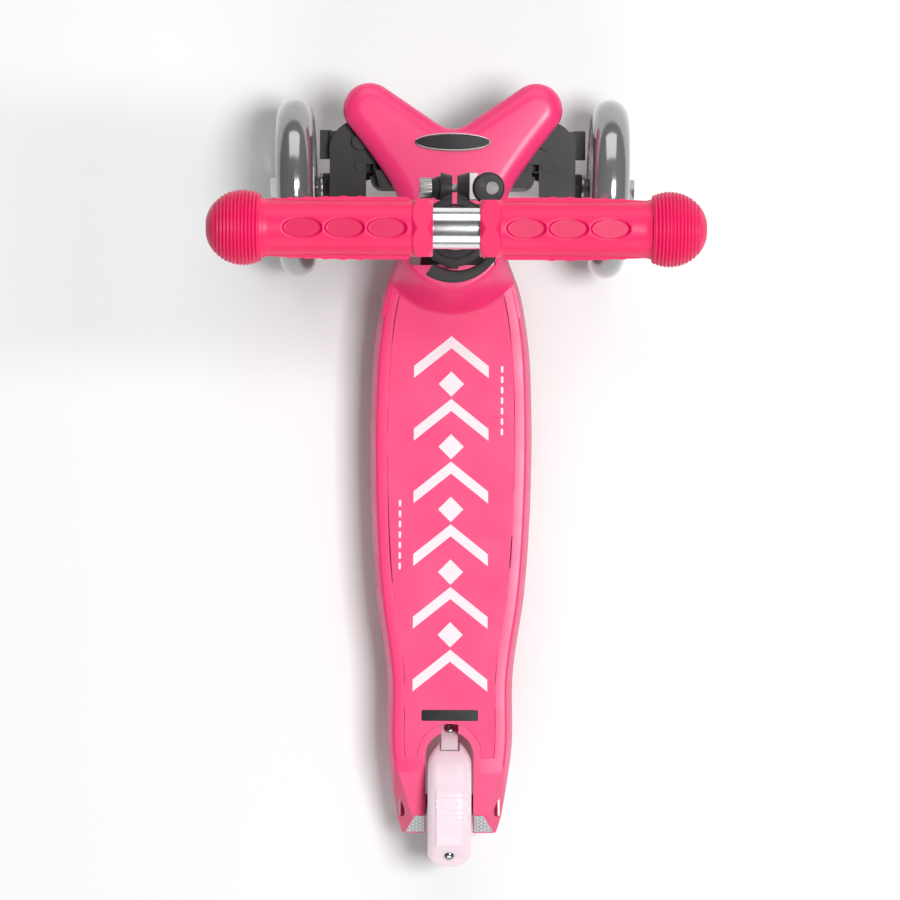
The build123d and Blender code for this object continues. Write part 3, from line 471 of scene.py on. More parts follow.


# Radius over (x, angle): a six-sided flange, a round body with pressed ovals on top and a thin wing in
# front and behind, and a ball whose rings are a cosine along x; also a painted shade share per point
# that darkens the oval floors and the ball's grooves
def gripSurface(g):
    turn = np.linspace(0, 2 * np.pi, 216, endpoint=False)[None, :]  # 0 points to the front, a quarter turn up
    neck = g["start"] + g["flangeWide"]
    flangeX = np.concatenate([[0, 0], np.linspace(0, g["flangeWide"], 47)]) + g["start"]
    bodyX = np.linspace(neck, g["ballBack"], 150)
    backX = np.full(5, g["ballBack"])
    ballX = np.linspace(g["ballBack"], g["ribEnd"], 140)
    capFrom, capTo = (math.asin((x - g["ballX"]) / g["ball"]) for x in (g["ribEnd"], g["end"]))
    capX = g["ballX"] + g["ball"] * np.sin(np.linspace(capFrom, capTo, 14))
    # flange: distance of a flat side at this angle, with a point upwards, drawn in at both rims
    corner = (turn + np.pi / 2) % (np.pi / 3) - np.pi / 6
    hexagon = g["flat"] / np.cos(corner)
    rim = np.minimum(flangeX - g["start"], g["start"] + g["flangeWide"] - flangeX)[:, None]
    flange = np.minimum(hexagon - 0.3 * np.exp(-rim / 0.4), g["flat"] - 0.5 + g["cone"] * rim)
    flange[0] = g["bore"]
    flange[1] = g["bore"] + 1.2
    # body
    x = bodyX[:, None]
    up = np.abs((turn - np.pi / 2 + np.pi) % (2 * np.pi) - np.pi) * g["body"]
    ovals = np.zeros((len(bodyX), turn.shape[1]))
    floor = g["body"] - np.minimum(g["floorHigh"] / np.maximum(np.sin(turn), 0.5), g["body"])
    for step in range(g["dimpleCount"]):
        middle = g["dimpleStart"] + step * g["dimplePitch"]
        inside = 1 - np.sqrt(((x - middle) / g["dimpleLong"]) ** 2 + (up / g["dimpleWide"]) ** 2)
        ovals = np.maximum(ovals, np.clip(inside / 0.1, 0, 1))
    ovals = ovals * (floor + 0.12) - 0.06 * np.exp(-((up / 0.3) ** 2)) * (ovals >= 1)
    side = np.abs(g["body"] * np.sin(turn))
    wingShare = np.clip((g["wingEnd"] - 3 - x) / g["wingTaper"], 0, 1) ** 0.6
    bumps = g["bumpHigh"] * np.clip(np.sin((x - 40) * 2 * np.pi / g["bumpPitch"]), 0, 1)
    bumps = bumps * (x > g["bumpFrom"]) * (x < g["bumpTo"])
    wingOut = (g["wingOut"] - g["body"] - 0.5) * wingShare + bumps
    thin = 1 - np.clip((side - g["wingThick"] + 0.5) / 0.8, 0, 1)
    wing = wingOut * thin * np.clip((x - neck) / 2.5, 0, 1)
    fade = g["fillet"] * np.exp(-(((x - g["ballBack"]) / g["filletLong"]) ** 2))
    body = g["body"] - ovals + wing + fade
    # ball
    back = math.sqrt(g["ball"] ** 2 - (g["ballX"] - g["ballBack"]) ** 2)
    backR = np.linspace(g["body"] + g["fillet"], back - 0.5, 5)[:, None] + 0 * turn
    ballRound = np.sqrt(g["ball"] ** 2 - (ballX - g["ballX"]) ** 2)
    rings = (1 - np.cos((ballX - g["ballBack"]) * 2 * np.pi / g["ribPitch"])) / 2
    edge = np.clip((g["ribEnd"] - ballX) / 1.0, 0, 1) * np.clip((ballX - g["ballBack"]) / 0.5, 0, 1)
    ribs = (ballRound - g["ribDeep"] * (1 - rings**0.6) * edge)[:, None] + 0 * turn
    cap = np.sqrt(np.maximum(g["ball"] ** 2 - (capX - g["ballX"]) ** 2, 0))[:, None] + 0 * turn
    endX = np.array([g["end"], g["end"], g["boreEnd"], g["boreEnd"]])
    endR = np.array([cap[-1, 0] * 0.5, 0.0, 0.0, g["bore"]])[:, None] + 0 * turn
    radius = np.concatenate([flange, body, backR, ribs, cap, endR])
    xs = np.concatenate([flangeX, bodyX, backX, ballX, capX, endX])[:, None]
    points = np.stack([xs + 0 * turn, radius * np.cos(turn), radius * np.sin(turn)], -1)
    # painted shade: the ball's grooves and the oval floors are marked darker in colour
    grooveShade = ((1 - rings) * edge)[:, None] + 0 * turn
    ovalShade = np.clip(ovals / 0.35, 0, 1)
    paintedShade = np.concatenate([0 * flange, ovalShade, 0 * backR, grooveShade, 0 * cap, 0 * endR])
    return points.reshape(-1, 3), gridFaces(len(xs), turn.shape[1], True, True), paintedShade.ravel()


gripPoints, gripFaces, gripPaintedShade = gripSurface(gripShape)
for side, sign in (("right", 1), ("left", -1)):
    points = placed(gripPoints * (sign, 1, 1), barPlace)
    grip = (points, gripFaces, gripPaintedShade)
    makePiece(side + "Grip", grip, finishes["pink_rubber"], "handlebar", [side + "_grip"], 50)
print("grips made")


# mudguard that brakes
guardShape = dict(  # radii from the wheel's axis; the panel's ends are angles from the front
    inner=44.0, thick=3.0, wide=29.0, wheelR=40.0, tipRound=16.6, tipOut=0.9, tipPower=2.3,
    panelHalf=9.5, panelFront=72.0, panelRear=121.0, panelHigh=0.9, ribs=9, ribPitch=3.2, ribFirst=-207.5,
    ribDeep=0.39, edgeDrop=4.2, tongueRoom=6.6, tongueDeep=3.6, tongueInside=2.4,
)


# Shell over (angle, across): radius = outer - drop |u|^5, half width from the tip's circle, and a raised
# panel with cross ribs; the inner face is the same, thinner at the edges
def guardSurface(g):
    axle = placed((0, 0, 0), spinPlace("rear"))
    hinge = joints["brake_press"]["pos_m"][1] / mm
    outer = g["inner"] + g["thick"]
    noseY, half = axle[1] + outer - 0.2, g["wide"] / 2
    tipY = axle[1] - g["wheelR"] + g["tipOut"] + g["tipRound"]
    frontY = noseY - half * (1 - np.cos(np.linspace(0.12, np.pi / 2, 34)))
    rearY = tipY - g["tipRound"] * np.sin(np.linspace(0, np.pi / 2, 34))
    frontTurn, rearTurn = (np.degrees(np.arccos((ends - axle[1]) / outer)) for ends in (frontY, rearY))
    between = np.linspace(frontTurn[-1] + 1, rearTurn[0] - 1, 70)
    degrees = np.concatenate([frontTurn, between, rearTurn])[:, None]
    angle = np.radians(degrees)
    y = axle[1] + outer * np.cos(angle)
    front = np.clip((noseY - y) / half, 0, 1)
    beyond = np.clip((tipY - y) / g["tipRound"], 0, 0.9995)
    tip = g["tipRound"] * (1 - beyond ** g["tipPower"]) ** (1 / g["tipPower"])
    half = np.minimum(half * np.sqrt(front * (2 - front)), tip)
    u = np.sin(np.linspace(-np.pi / 2, np.pi / 2, 61))[None, :]
    x = half * u
    under = np.clip((y - hinge + 0.3) / 1.2, 0, 1) * np.clip((g["tongueRoom"] - np.abs(x)) / 0.6, 0, 1)
    panel = np.clip((g["panelHalf"] - np.abs(x)) / 0.8, 0, 1)
    panel = panel * np.clip((degrees - g["panelFront"]) / 1.5, 0, 1)
    panel = panel * np.clip((g["panelRear"] - degrees) / 1.5, 0, 1)
    along = (g["ribFirst"] - y) / g["ribPitch"]
    onRibs = (along > 0) * (along < g["ribs"]) * (np.abs(x) < g["panelHalf"] - 1.6)
    ribs = g["ribDeep"] * (0.5 - 0.5 * np.cos(along * 2 * np.pi)) * onRibs
    drop = g["edgeDrop"] * np.abs(u) ** 5 * np.clip(half / (g["wide"] / 2), 0.2, 1) * (1 - 0.85 * beyond)
    raised = (panel * g["panelHigh"] - ribs) * (1 - np.abs(u) ** 8)
    outerR = outer - drop - under * g["tongueDeep"] + raised
    innerR = outer - drop - under * g["tongueInside"] - g["thick"] * (1 - 0.5 * np.abs(u) ** 6)

    # points at this radius: y = axle + r cos angle, z = axle + r sin angle
    def shell(radius):
        along, up = radius * np.cos(angle), radius * np.sin(angle)
        return np.stack([x + 0 * radius, axle[1] + along, axle[2] + up], -1)

    return stackedLoops(np.concatenate([shell(outerR), shell(innerR)[:, ::-1]], 1))


makePiece("brakeGuard", guardSurface(guardShape), finishes["fender_plastic"], "brake",
          ["brake_fender"], 45)
print("mudguard made")


# deck shell
deckShape = dict(  # heights from the ground, places along the deck from its middle
    top=64.0, bottom=43.0, slope=4.5, soft=1.8, back=-240.5, neckFront=190.5,
    side=[(33.4, -240.5), (38.4, -212), (42.1, -185), (42.7, -135), (50.4, -77), (54.3, -10), (54.6, 43),
          (51.9, 92), (46.3, 124), (36.6, 152), (33.0, 172), (33.0, 190.5)],  # half width, place
    wall=3.5, ribWide=2.2, ribX=24.0, ribBack=-170.0, ribFront=150.0, ribY=42.0, ribFirst=-125.0, ribCount=6,
    slotHalf=16.0, slotFront=-171.0, wheelBite=21.25,
    padInset=11.75, padEdge=3.9, padBack=-188.25, padFront=122.25, padDeep=1.4,
    humpY=158.0, humpOut=50.25, humpHigh=33.0, humpSide=1.0, humpSpread=18.0,
    headX=28.5, headBack=139.8, headFront=180.2, neckHalf=30.0, neckBack=152.0,
    cheekX=33.0, cheekR=12.0, boltSeat=26.5, boltR=7.3, boltRise=9.0, boltRim=34.2, axleR=4.05,
    slopeY=-226.5, slopeTurn=50.0, tabHalf=5.8, noseTop=97.0, noseLow=84.0, edgeRound=0.5,
    facetFront=(37.1, -190.0), facetBack=24.9, facetLow=36.4,
)
noseShape = dict(
    lobe=(55.2, 243.4), lobeR=17.5, lobeFrom=124.0, lobeTo=-28.0, notchR=17.0,
    flank=[(52.5, 211.5), (38.5, 190.0), (33.0, 170.0), (33.0, 150.0)],
    inset=12.0, high=10.0, skirt=0.9, rings=14,
)


# Values at given places through (value, place) knots: on each span a cubic with the knots' mean slopes,
# v = h00 v0 + h10 L s0 + h01 v1 + h11 L s1
def smoothThrough(knots, at):
    knots = np.asarray(knots, float)
    value, place = knots[:, 0], knots[:, 1]
    slope = np.gradient(value, place)
    span = np.clip(np.searchsorted(place, at, side="right") - 1, 0, len(place) - 2)
    length = place[span + 1] - place[span]
    t = (at - place[span]) / length
    return ((2 * t**3 - 3 * t**2 + 1) * value[span] + (t**3 - 2 * t**2 + t) * length * slope[span]
            + (3 * t**2 - 2 * t**3) * value[span + 1] + (t**3 - t**2) * length * slope[span + 1])


# Half the deck's width at a place along it
def deckHalf(y):
    return smoothThrough(deckShape["side"], y)


# Section at each place along the deck: a flat-topped trapezoid, sides leaning in, corners drawn off
def deckLoft(y, inset, low, high, soft):
    d = deckShape
    lean = d["slope"] / (d["top"] - d["bottom"])
    wide = deckHalf(y) - inset - (low - d["bottom"]) * lean
    narrow = deckHalf(y) - inset - (high - d["bottom"]) * lean
    spread = 60 + (high - low) * lean
    unit = np.array([(-spread, low), (spread, low), (60, high), (-60, high)])
    shape = softCorners(unit, soft, 4)
    base = np.repeat(unit, 4, 0)
    corner = np.stack([-wide, wide, narrow, -narrow], 1).repeat(4, 1)
    x = corner + (shape - base)[None, :, 0]
    z = np.broadcast_to(shape[None, :, 1], x.shape)
    return stackedLoops(np.stack([x, np.broadcast_to(y[:, None], x.shape), z], -1))


# A closed (x, y) outline carried up from low to high
def prism(outline, low, high):
    outline = np.asarray(outline, float)
    levels = [np.column_stack([outline, np.full(len(outline), level)]) for level in (low, high)]
    return stackedLoops(np.array(levels))


# Corners of a rectangle, counter-clockwise
def rectangle(x0, x1, y0, y1):
    return [(x0, y0), (x1, y0), (x1, y1), (x0, y1)]


# Points of a circle: x + r cos t, y + r sin t
def circle(x, y, radius, count=96):
    turn = np.linspace(0, 2 * np.pi, count, endpoint=False)
    return np.stack([x + radius * np.cos(turn), y + radius * np.sin(turn)], 1)


# Turned about a line along x through a (y, z) point
def turnedAbout(shape, point, degrees):
    points, faces = shape
    turn = math.radians(degrees)
    y, z = points[:, 1] - point[0], points[:, 2] - point[1]
    moved = [points[:, 0], point[0] + y * math.cos(turn) - z * math.sin(turn),
             point[1] + y * math.sin(turn) + z * math.cos(turn)]
    return np.stack(moved, 1), faces


# Height over the deck: H s^1.7 (2.4 - 1.4 s), where s falls from 1 to 0 over the hump's foot, rounded off
# at the deck's sides
def humpSurface():
    d = deckShape
    y = np.linspace(d["humpY"] - d["humpOut"] - 1, d["neckFront"], 110)[:, None]
    u = np.sin(np.linspace(-np.pi / 2, np.pi / 2, 91))[None, :]
    x = u * (deckHalf(y[:, 0])[:, None] - d["slope"] - d["humpSide"] + 2.4)
    away = np.hypot(x, y - d["humpY"])
    s = np.clip((d["humpOut"] - away) / d["humpSpread"], 0, 1)
    rise = d["humpHigh"] * s**1.7 * (2.4 - 1.4 * s)
    edge = np.clip((1 - np.abs(u)) / 0.12, 0, 1)
    z = d["top"] - 2.0 + (rise + 1.8) * (0.72 + 0.28 * np.sqrt(edge * (2 - edge)))
    z = np.minimum(z, d["noseTop"] - 0.3)
    upper = np.stack([x, np.broadcast_to(y, x.shape), z], -1)
    lower = upper[:, ::-1].copy()
    lower[..., 2] = d["bottom"] + 4
    return stackedLoops(np.concatenate([upper, lower], 1))


# Half outline from the notch to the neck: arc, straight flank, lobe arc, then a smooth line
def noseOutline():
    n = noseShape
    lobe = np.array(n["lobe"])
    start = math.radians(n["lobeFrom"])
    touch = lobe + n["lobeR"] * np.array([math.cos(start), math.sin(start)])
    rise = start - np.pi / 2  # angle of the straight flank
    foot = touch[1] - math.tan(rise) * touch[0]
    middle = foot + n["notchR"] / math.cos(rise)
    turn = np.linspace(-np.pi / 2, -np.pi / 2 + rise, 12)
    notch = np.stack([n["notchR"] * np.cos(turn), middle + n["notchR"] * np.sin(turn)], 1)
    straight = notch[-1] + (touch - notch[-1]) * np.linspace(0, 1, 26)[1:-1, None]
    turn = np.linspace(start, math.radians(n["lobeTo"]), 44)
    lobeArc = lobe + n["lobeR"] * np.stack([np.cos(turn), np.sin(turn)], 1)
    knots = np.array([tuple(lobeArc[-1])] + n["flank"])[::-1]
    y = np.linspace(knots[0, 1], knots[-1, 1], 52)[::-1][1:]
    flank = np.stack([smoothThrough(knots, y), y], 1)
    return np.concatenate([notch, straight, lobeArc, flank])


# The outline drawn in ring by ring: inset = a (1 - cos t) and height = top - b (1 - sin t)
def noseSurface():
    n, d = noseShape, deckShape
    half = noseOutline()
    whole = np.concatenate([half, (half * (-1, 1))[::-1][:-1]])
    along = sum(np.roll(whole, -step, 0) - np.roll(whole, step, 0) for step in range(1, 7))  # evened out
    along /= np.linalg.norm(along, axis=1)[:, None]
    inward = np.stack([along[:, 1], -along[:, 0]], 1)
    base = whole[:, 1] < n["flank"][-1][1] + 0.1
    inward[base] = np.stack([-np.sign(whole[base, 0]), 0 * whole[base, 0]], 1)
    turn = np.linspace(0, np.pi / 2, n["rings"])
    inset = np.concatenate([[n["skirt"] + 1.5, n["skirt"]], [0.3], n["inset"] * (1 - np.cos(turn))])
    level = np.concatenate([[d["noseLow"], d["noseLow"]], [d["noseLow"] + n["skirt"]],
                            d["noseTop"] - n["high"] * (1 - np.sin(turn))])
    plan = whole[None] + inset[:, None, None] * inward[None]
    height = np.broadcast_to(level[:, None, None], plan.shape[:2] + (1,))
    return stackedLoops(np.concatenate([plan, height], 2))


# A disc round the rear axle beside the wheel slot, with drawn-off rims
def cheek(sign):
    d = deckShape
    axle = placed((0, 0, 0), spinPlace("rear"))
    corners = [(d["slotHalf"], 0), (d["slotHalf"], d["cheekR"]), (d["cheekX"], d["cheekR"]), (d["cheekX"], 0)]
    profile = softCorners(corners, [0.01, 0.8, 1.6, 0.01])
    points, faces = ringSolid(profile, 64)
    return points * (sign, 1, 1) + axle, faces


# The shell: a loft with cells cut out below, the hump and nose joined on, and all recesses cut
def makeDeck():
    d = deckShape
    y = np.concatenate([np.linspace(d["back"], -185, 24), np.linspace(-182, d["neckFront"], 120)])
    shell = rawMesh("deckShell", *deckLoft(y, 0.0, d["bottom"], d["top"], d["soft"]))

    # a shape joined to the shell
    def add(shape):
        combine(shell, rawMesh("tool", *shape), "UNION")

    # the same shape taken away
    def cut(shape):
        combine(shell, rawMesh("tool", *shape))

    # underside cells between the ribs
    backCell, frontCell = d["slotFront"] + 13, d["humpY"] - d["humpOut"] + 4
    cells = rawMesh("cells", *deckLoft(np.linspace(backCell, frontCell, 60), d["wall"], d["bottom"] - 2,
                                       d["top"] - d["wall"] - 0.4, 0.8))
    half = d["ribWide"] / 2
    crossRibs = d["ribFirst"] + d["ribY"] * np.arange(d["ribCount"])
    ribs = [rectangle(x - half, x + half, d["ribBack"], d["ribFront"]) for x in (-d["ribX"], 0, d["ribX"])]
    ribs += [rectangle(-80, 80, y - half, y + half) for y in crossRibs]
    for rib in ribs:
        combine(cells, rawMesh("tool", *prism(rib, d["bottom"], 90)))
    combine(shell, cells)
    add(humpSurface())
    add(noseSurface())
    neck = rectangle(-d["neckHalf"], d["neckHalf"], d["neckBack"], d["neckFront"])
    add(prism(neck, d["bottom"] + 0.5, d["noseLow"] + 3))
    # panel recess
    slotY = d["slotFront"] - d["slotHalf"]
    padRows = np.linspace(d["padBack"], d["padFront"], 80)
    recess = rawMesh("recess", *deckLoft(padRows, d["padInset"] - d["padEdge"], d["top"] - d["padDeep"],
                                         d["top"] + 16, 0.02))
    combine(recess, rawMesh("tool", *prism(circle(0, d["humpY"], d["humpOut"]), 50, 90)))
    combine(recess, rawMesh("tool", *prism(circle(0, slotY, d["wheelBite"], 64), 50, 90)))
    combine(shell, recess)
    for sign in (1, -1):
        add(cheek(sign))
    # wheel slot, head slot and bolt recesses
    turn = np.linspace(0, np.pi, 33)
    front = np.stack([d["slotHalf"] * np.cos(turn), slotY + d["slotHalf"] * np.sin(turn)], 1)
    cut(prism(np.concatenate([[(-d["slotHalf"], -260), (d["slotHalf"], -260)], front]), 0, 90))
    cut(prism(rectangle(-d["headX"], d["headX"], d["headBack"], d["headFront"]), 30, 120))
    axle = placed((0, 0, 0), spinPlace("rear"))
    turn = np.linspace(0, 2 * np.pi, 49)[:-1]
    z = d["boltR"] * np.sin(turn)
    oval = np.stack([d["boltR"] * np.cos(turn), z + np.where(z > 0, d["boltRise"], 0)], 1)
    middle = np.array([0, d["boltRise"] / 2])
    depths = ((d["boltSeat"], 0.96), (d["boltSeat"] + 4, 1.0), (d["boltRim"], 1.0))
    for sign in (1, -1):
        loops = [np.insert(axle[1:] + middle + (oval - middle) * grow, 0, sign * x, 1) for x, grow in depths]
        cut(stackedLoops(np.array(loops)))
        cut(tailFacet(sign))
    # the tail's slope, and the seat of the mudguard's tongue
    slope = prism(rectangle(-80, 80, d["slopeY"] - 60, d["slopeY"]), d["top"], d["top"] + 50)
    cut(turnedAbout(slope, (d["slopeY"], d["top"]), d["slopeTurn"]))
    low, high = boxMm("brake_tab")
    seat = prism(rectangle(-d["tabHalf"], d["tabHalf"], high[1] - 60, high[1] + 0.3), low[2] - 0.6, 120)
    cut(turnedAbout(seat, (high[1], low[2] + 1.5), -d["slopeTurn"]))
    points, faces = ringSolid([(-60, 0), (-60, d["axleR"]), (60, d["axleR"]), (60, 0)], 32)
    cut((points + axle, faces))
    drawnOff(shell, d["edgeRound"], 2, 38)
    makePiece("deckShell", shell, finishes["pink_plastic"], "chassis", ["deck_shell"], 30)


# A block outside of the plane that bevels each side wall towards the tail
def tailFacet(sign):
    d = deckShape
    front, back = np.array([*d["facetFront"], d["top"]]), np.array([d["facetBack"], d["slopeY"], d["top"]])
    low = np.array([d["facetLow"], d["slopeY"], d["bottom"]])
    along = (front - back) / np.linalg.norm(front - back)
    out = np.cross(along, low - back)
    out *= np.sign(out[0]) / np.linalg.norm(out)
    up = np.cross(out, along)
    loops = [[back + along * a + up * b + out * c for a, b in ((-90, -50), (90, -50), (90, 50), (-90, 50))]
             for c in (0.0, 60.0)]
    points, faces = stackedLoops(np.array(loops))
    return points * (sign, 1, 1), faces


makeDeck()
print("deck made")


# tubes of the column and bar
barShape = dict(outer=11.1, bore=9.5, half=128.0)


# A tube along x from low to high with rounded rims
def tubeSolid(radius, inner, low, high, soft=0.6, count=96):
    return ringSolid(softCorners([(low, radius), (high, radius), (high, inner), (low, inner)], soft), count)


# Points along x stood up along z
def upright(points):
    return np.asarray(points)[:, [1, 2, 0]]


points, faces = tubeSolid(barShape["outer"], barShape["bore"], -barShape["half"], barShape["half"])
bar = (placed(points, barPlace), faces)
makePiece("barTube", bar, finishes["bar_aluminium"], "handlebar", ["crossbar"])
print("tubes made")


# clamp at the top of the column
clampShape = dict(  # the bolt's place up the column and ahead of it, then radii and lengths along it
    boltAt=256.4, boltOut=26.0, boltR=2.52, edgeRound=0.5,
    ringIn=15.55, ringOut=20.5, high=22.0, slit=1.5,
    earOut=8.5, earRound=9.6, earWaist=7.4, lugFrom=17.0, lugHalf=7.0,
    nutFrom=-21.0, nutTo=-13.4, nutR=6.15, flutes=12, fluteDeep=0.055,
    washerTo=-8.5, washerFrom=5.6, washerSwell=1.6, washerRings=4, ringDeep=0.35,
    headX=20.0, headR=9.5, headSoft=1.8, leverHigh=13.0,
    armR=26.5, armStart=62.0, armEnd=-124.0, armFlare=5.0,
    armHalf=3.2, armEndHalf=4.3, armWaist=0.8, armTop=5.6,
)


# A low dome on a short foot, turned about x: x = foot + h cos t and radius = R sin t
def domeSolid(radius, high, foot, count=48):
    turn = np.linspace(0, np.pi / 2, 14)
    dome = np.stack([foot + high * np.cos(turn), radius * np.sin(turn)], 1)
    return ringSolid(np.concatenate([dome, [(0, radius), (0, 0)]]), count)


# A rounded rectangle carried along a path in a plane: point = middle + w outward, height h
def bentBar(middle, outward, halfWide, halfHigh, soft=1.3):
    unit = np.array([(-10, -10), (10, -10), (10, 10), (-10, 10)], float)
    corner, shape = np.repeat(unit, 6, 0), softCorners(unit, soft, 6)
    across = corner[None, :, 0] / 10 * halfWide[:, None] + (shape - corner)[None, :, 0]
    up = corner[None, :, 1] / 10 * halfHigh[:, None] + (shape - corner)[None, :, 1]
    plan = middle[:, None, :] + across[..., None] * outward[:, None, :]
    return stackedLoops(np.concatenate([plan, up[..., None]], 2))


# Collar, lever, nut and washer round the bolt at the column's top
def makeClamp():
    c = clampShape
    lift = np.array([0, 0, c["boltAt"]])
    fromBolt = np.array([0, c["boltOut"], c["boltAt"]])
    low, high = -c["high"] / 2, c["high"] / 2
    corners = [(low, c["ringIn"]), (low, c["ringOut"]), (high, c["ringOut"]), (high, c["ringIn"])]
    points, faces = ringSolid(softCorners(corners, [0.3, 1.6, 1.6, 0.3]), 128)
    collar = rawMesh("clampCollar", placed(upright(points) + lift, columnPlace), faces)
    x = np.linspace(-c["earOut"], c["earOut"], 41)
    waist = c["earWaist"] + (c["earRound"] - c["earWaist"]) * (np.abs(x) / c["earOut"]) ** 1.5
    waist[[0, -1]] -= 0.6
    profile = np.concatenate([[(x[0], 0)], np.stack([x, waist], 1), [(x[-1], 0)]])
    points, faces = ringSolid(profile, 64)
    combine(collar, rawMesh("tool", placed(points + fromBolt, columnPlace), faces), "UNION")
    lug = rectangle(-c["earOut"] + 0.8, c["earOut"] - 0.8, c["lugFrom"], c["boltOut"])
    points, faces = prism(lug, -c["lugHalf"], c["lugHalf"])
    combine(collar, rawMesh("tool", placed(points + lift, columnPlace), faces), "UNION")
    points, faces = prism(circle(0, 0, c["ringIn"]), -30, 30)
    combine(collar, rawMesh("tool", placed(points + lift, columnPlace), faces))
    points, faces = prism(rectangle(-c["slit"], c["slit"], 0, 60), -30, 30)
    combine(collar, rawMesh("tool", placed(points + lift, columnPlace), faces))
    points, faces = ringSolid([(-60, 0), (-60, c["boltR"]), (60, c["boltR"]), (60, 0)], 32)
    combine(collar, rawMesh("tool", placed(points + fromBolt, columnPlace), faces))
    drawnOff(collar, c["edgeRound"], 3, 40)
    makePiece("clampCollar", collar, finishes["black_plastic"], "column", ["clamp_collar"])
    # lever: round head over the cam, arm curling back round the column
    turn = np.radians(np.linspace(c["armStart"], c["armEnd"], 90))
    s = np.linspace(0, 1, 90)
    radius = c["armR"] + c["armFlare"] * np.clip(1 - s / 0.28, 0, 1) ** 2
    outward = np.stack([np.cos(turn), np.sin(turn)], 1)
    waist = c["armWaist"] * np.exp(-(((s - 0.55) / 0.25) ** 2))
    halfWide = c["armHalf"] + (c["armEndHalf"] - c["armHalf"]) * s**2 - waist
    halfHigh = c["armTop"] + 0 * s
    middle = outward * (radius - 0.4 * s)[:, None]
    points, faces = bentBar(middle, outward, halfWide, halfHigh)
    lever = rawMesh("clampLever", placed(points + lift, columnPlace), faces)
    half = c["leverHigh"] / 2
    corners = [(-half, 0), (-half, c["headR"]), (half, c["headR"]), (half, 0)]
    profile = softCorners(corners, [0.01, c["headSoft"], c["headSoft"], 0.01], 7)
    points, faces = ringSolid(profile, 72)
    head = upright(points) + (c["headX"], c["boltOut"], c["boltAt"])
    combine(lever, rawMesh("tool", placed(head, columnPlace), faces), "UNION")
    drawnOff(lever, c["edgeRound"], 2, 40)
    makePiece("clampLever", lever, finishes["black_plastic"], "quick_lever", ["clamp_lever"])
    # nut with flutes, and the ringed washer under it
    nutFrom, nutTo, boltR = c["nutFrom"], c["nutTo"], c["boltR"]
    corners = [(nutFrom, boltR), (nutFrom, c["nutR"]), (nutTo, c["nutR"]), (nutTo, boltR)]
    points, faces = ringSolid(softCorners(corners, [0.1, 0.8, 0.3, 0.1], 6), 144)
    radius = np.hypot(points[:, 1], points[:, 2])
    around = np.arctan2(points[:, 2], points[:, 1])
    wave = (0.5 - 0.5 * np.cos(c["flutes"] * around)) ** 2
    points[:, 1:] *= (1 - c["fluteDeep"] * wave * np.clip((radius - 4) / 2, 0, 1))[:, None]
    nut = (placed(points + fromBolt, columnPlace), faces)
    makePiece("clampNut", nut, finishes["zinc_steel"], "column", ["clamp_nut"], 30)
    x = np.linspace(nutTo, c["washerTo"], 60)
    t = (x - nutTo) / (c["washerTo"] - nutTo)
    rings = c["ringDeep"] * (0.5 - 0.5 * np.cos(t * c["washerRings"] * 2 * np.pi)) ** 2
    swell = c["washerFrom"] + c["washerSwell"] * np.sin(np.clip(t * 1.15, 0, 1) * np.pi / 2) - rings
    profile = np.concatenate([[(nutTo, boltR)], np.stack([x, swell], 1), [(c["washerTo"], boltR)]])
    points, faces = ringSolid(profile, 64)
    washer = (placed(points + fromBolt, columnPlace), faces)
    makePiece("domeWasher", washer, finishes["black_plastic"], "column", ["dome_washer"])


makeClamp()
print("clamp made")


# domed rivet of the mudguard and screw of its tongue
domeShape = dict(
    rivet=(3.7, 2.4, 0.5), screw=(3.6, 1.9, 0.4),  # radius, height of the dome, height of the foot
    rivetSunk=0.6, screwBack=2.6, screwDown=3.2, keyR=1.45, keyFloor=0.7,
)


# The rivet stands square on the mudguard's curve, the screw square on the deck's slope
def makeDomes():
    d = domeShape
    axle = placed((0, 0, 0), spinPlace("rear"))
    low, high = boxMm("brake_rivet")
    away = np.array([0, (low + high)[1] / 2 - axle[1], 0])
    reach = guardShape["inner"] + guardShape["thick"] - d["rivetSunk"]
    away[2] = math.sqrt(reach**2 - away[1] ** 2)
    points, faces = domeSolid(*d["rivet"])
    rivet = (placed(points, placing((axle + away) * mm, away, (1, 0, 0))), faces)
    makePiece("brakeRivet", rivet, finishes["polished_steel"], "brake", ["brake_rivet"])
    low, high = boxMm("brake_screw")
    turn = math.radians(deckShape["slopeTurn"])
    seat = np.array([0, high[1] - d["screwBack"], high[2] - d["screwDown"]])
    place = placing(seat * mm, (0, math.sin(turn), math.cos(turn)), (1, 0, 0))
    points, faces = domeSolid(*d["screw"])
    screw = rawMesh("brakeScrew", placed(points, place), faces)
    points, faces = ringSolid([(d["keyFloor"], 0), (d["keyFloor"], d["keyR"]), (5, d["keyR"]), (5, 0)], 6)
    combine(screw, rawMesh("tool", placed(points, place), faces))
    makePiece("brakeScrew", screw, finishes["zinc_steel"], "chassis", ["brake_screw"])


makeDomes()
print("rivet and screw made")


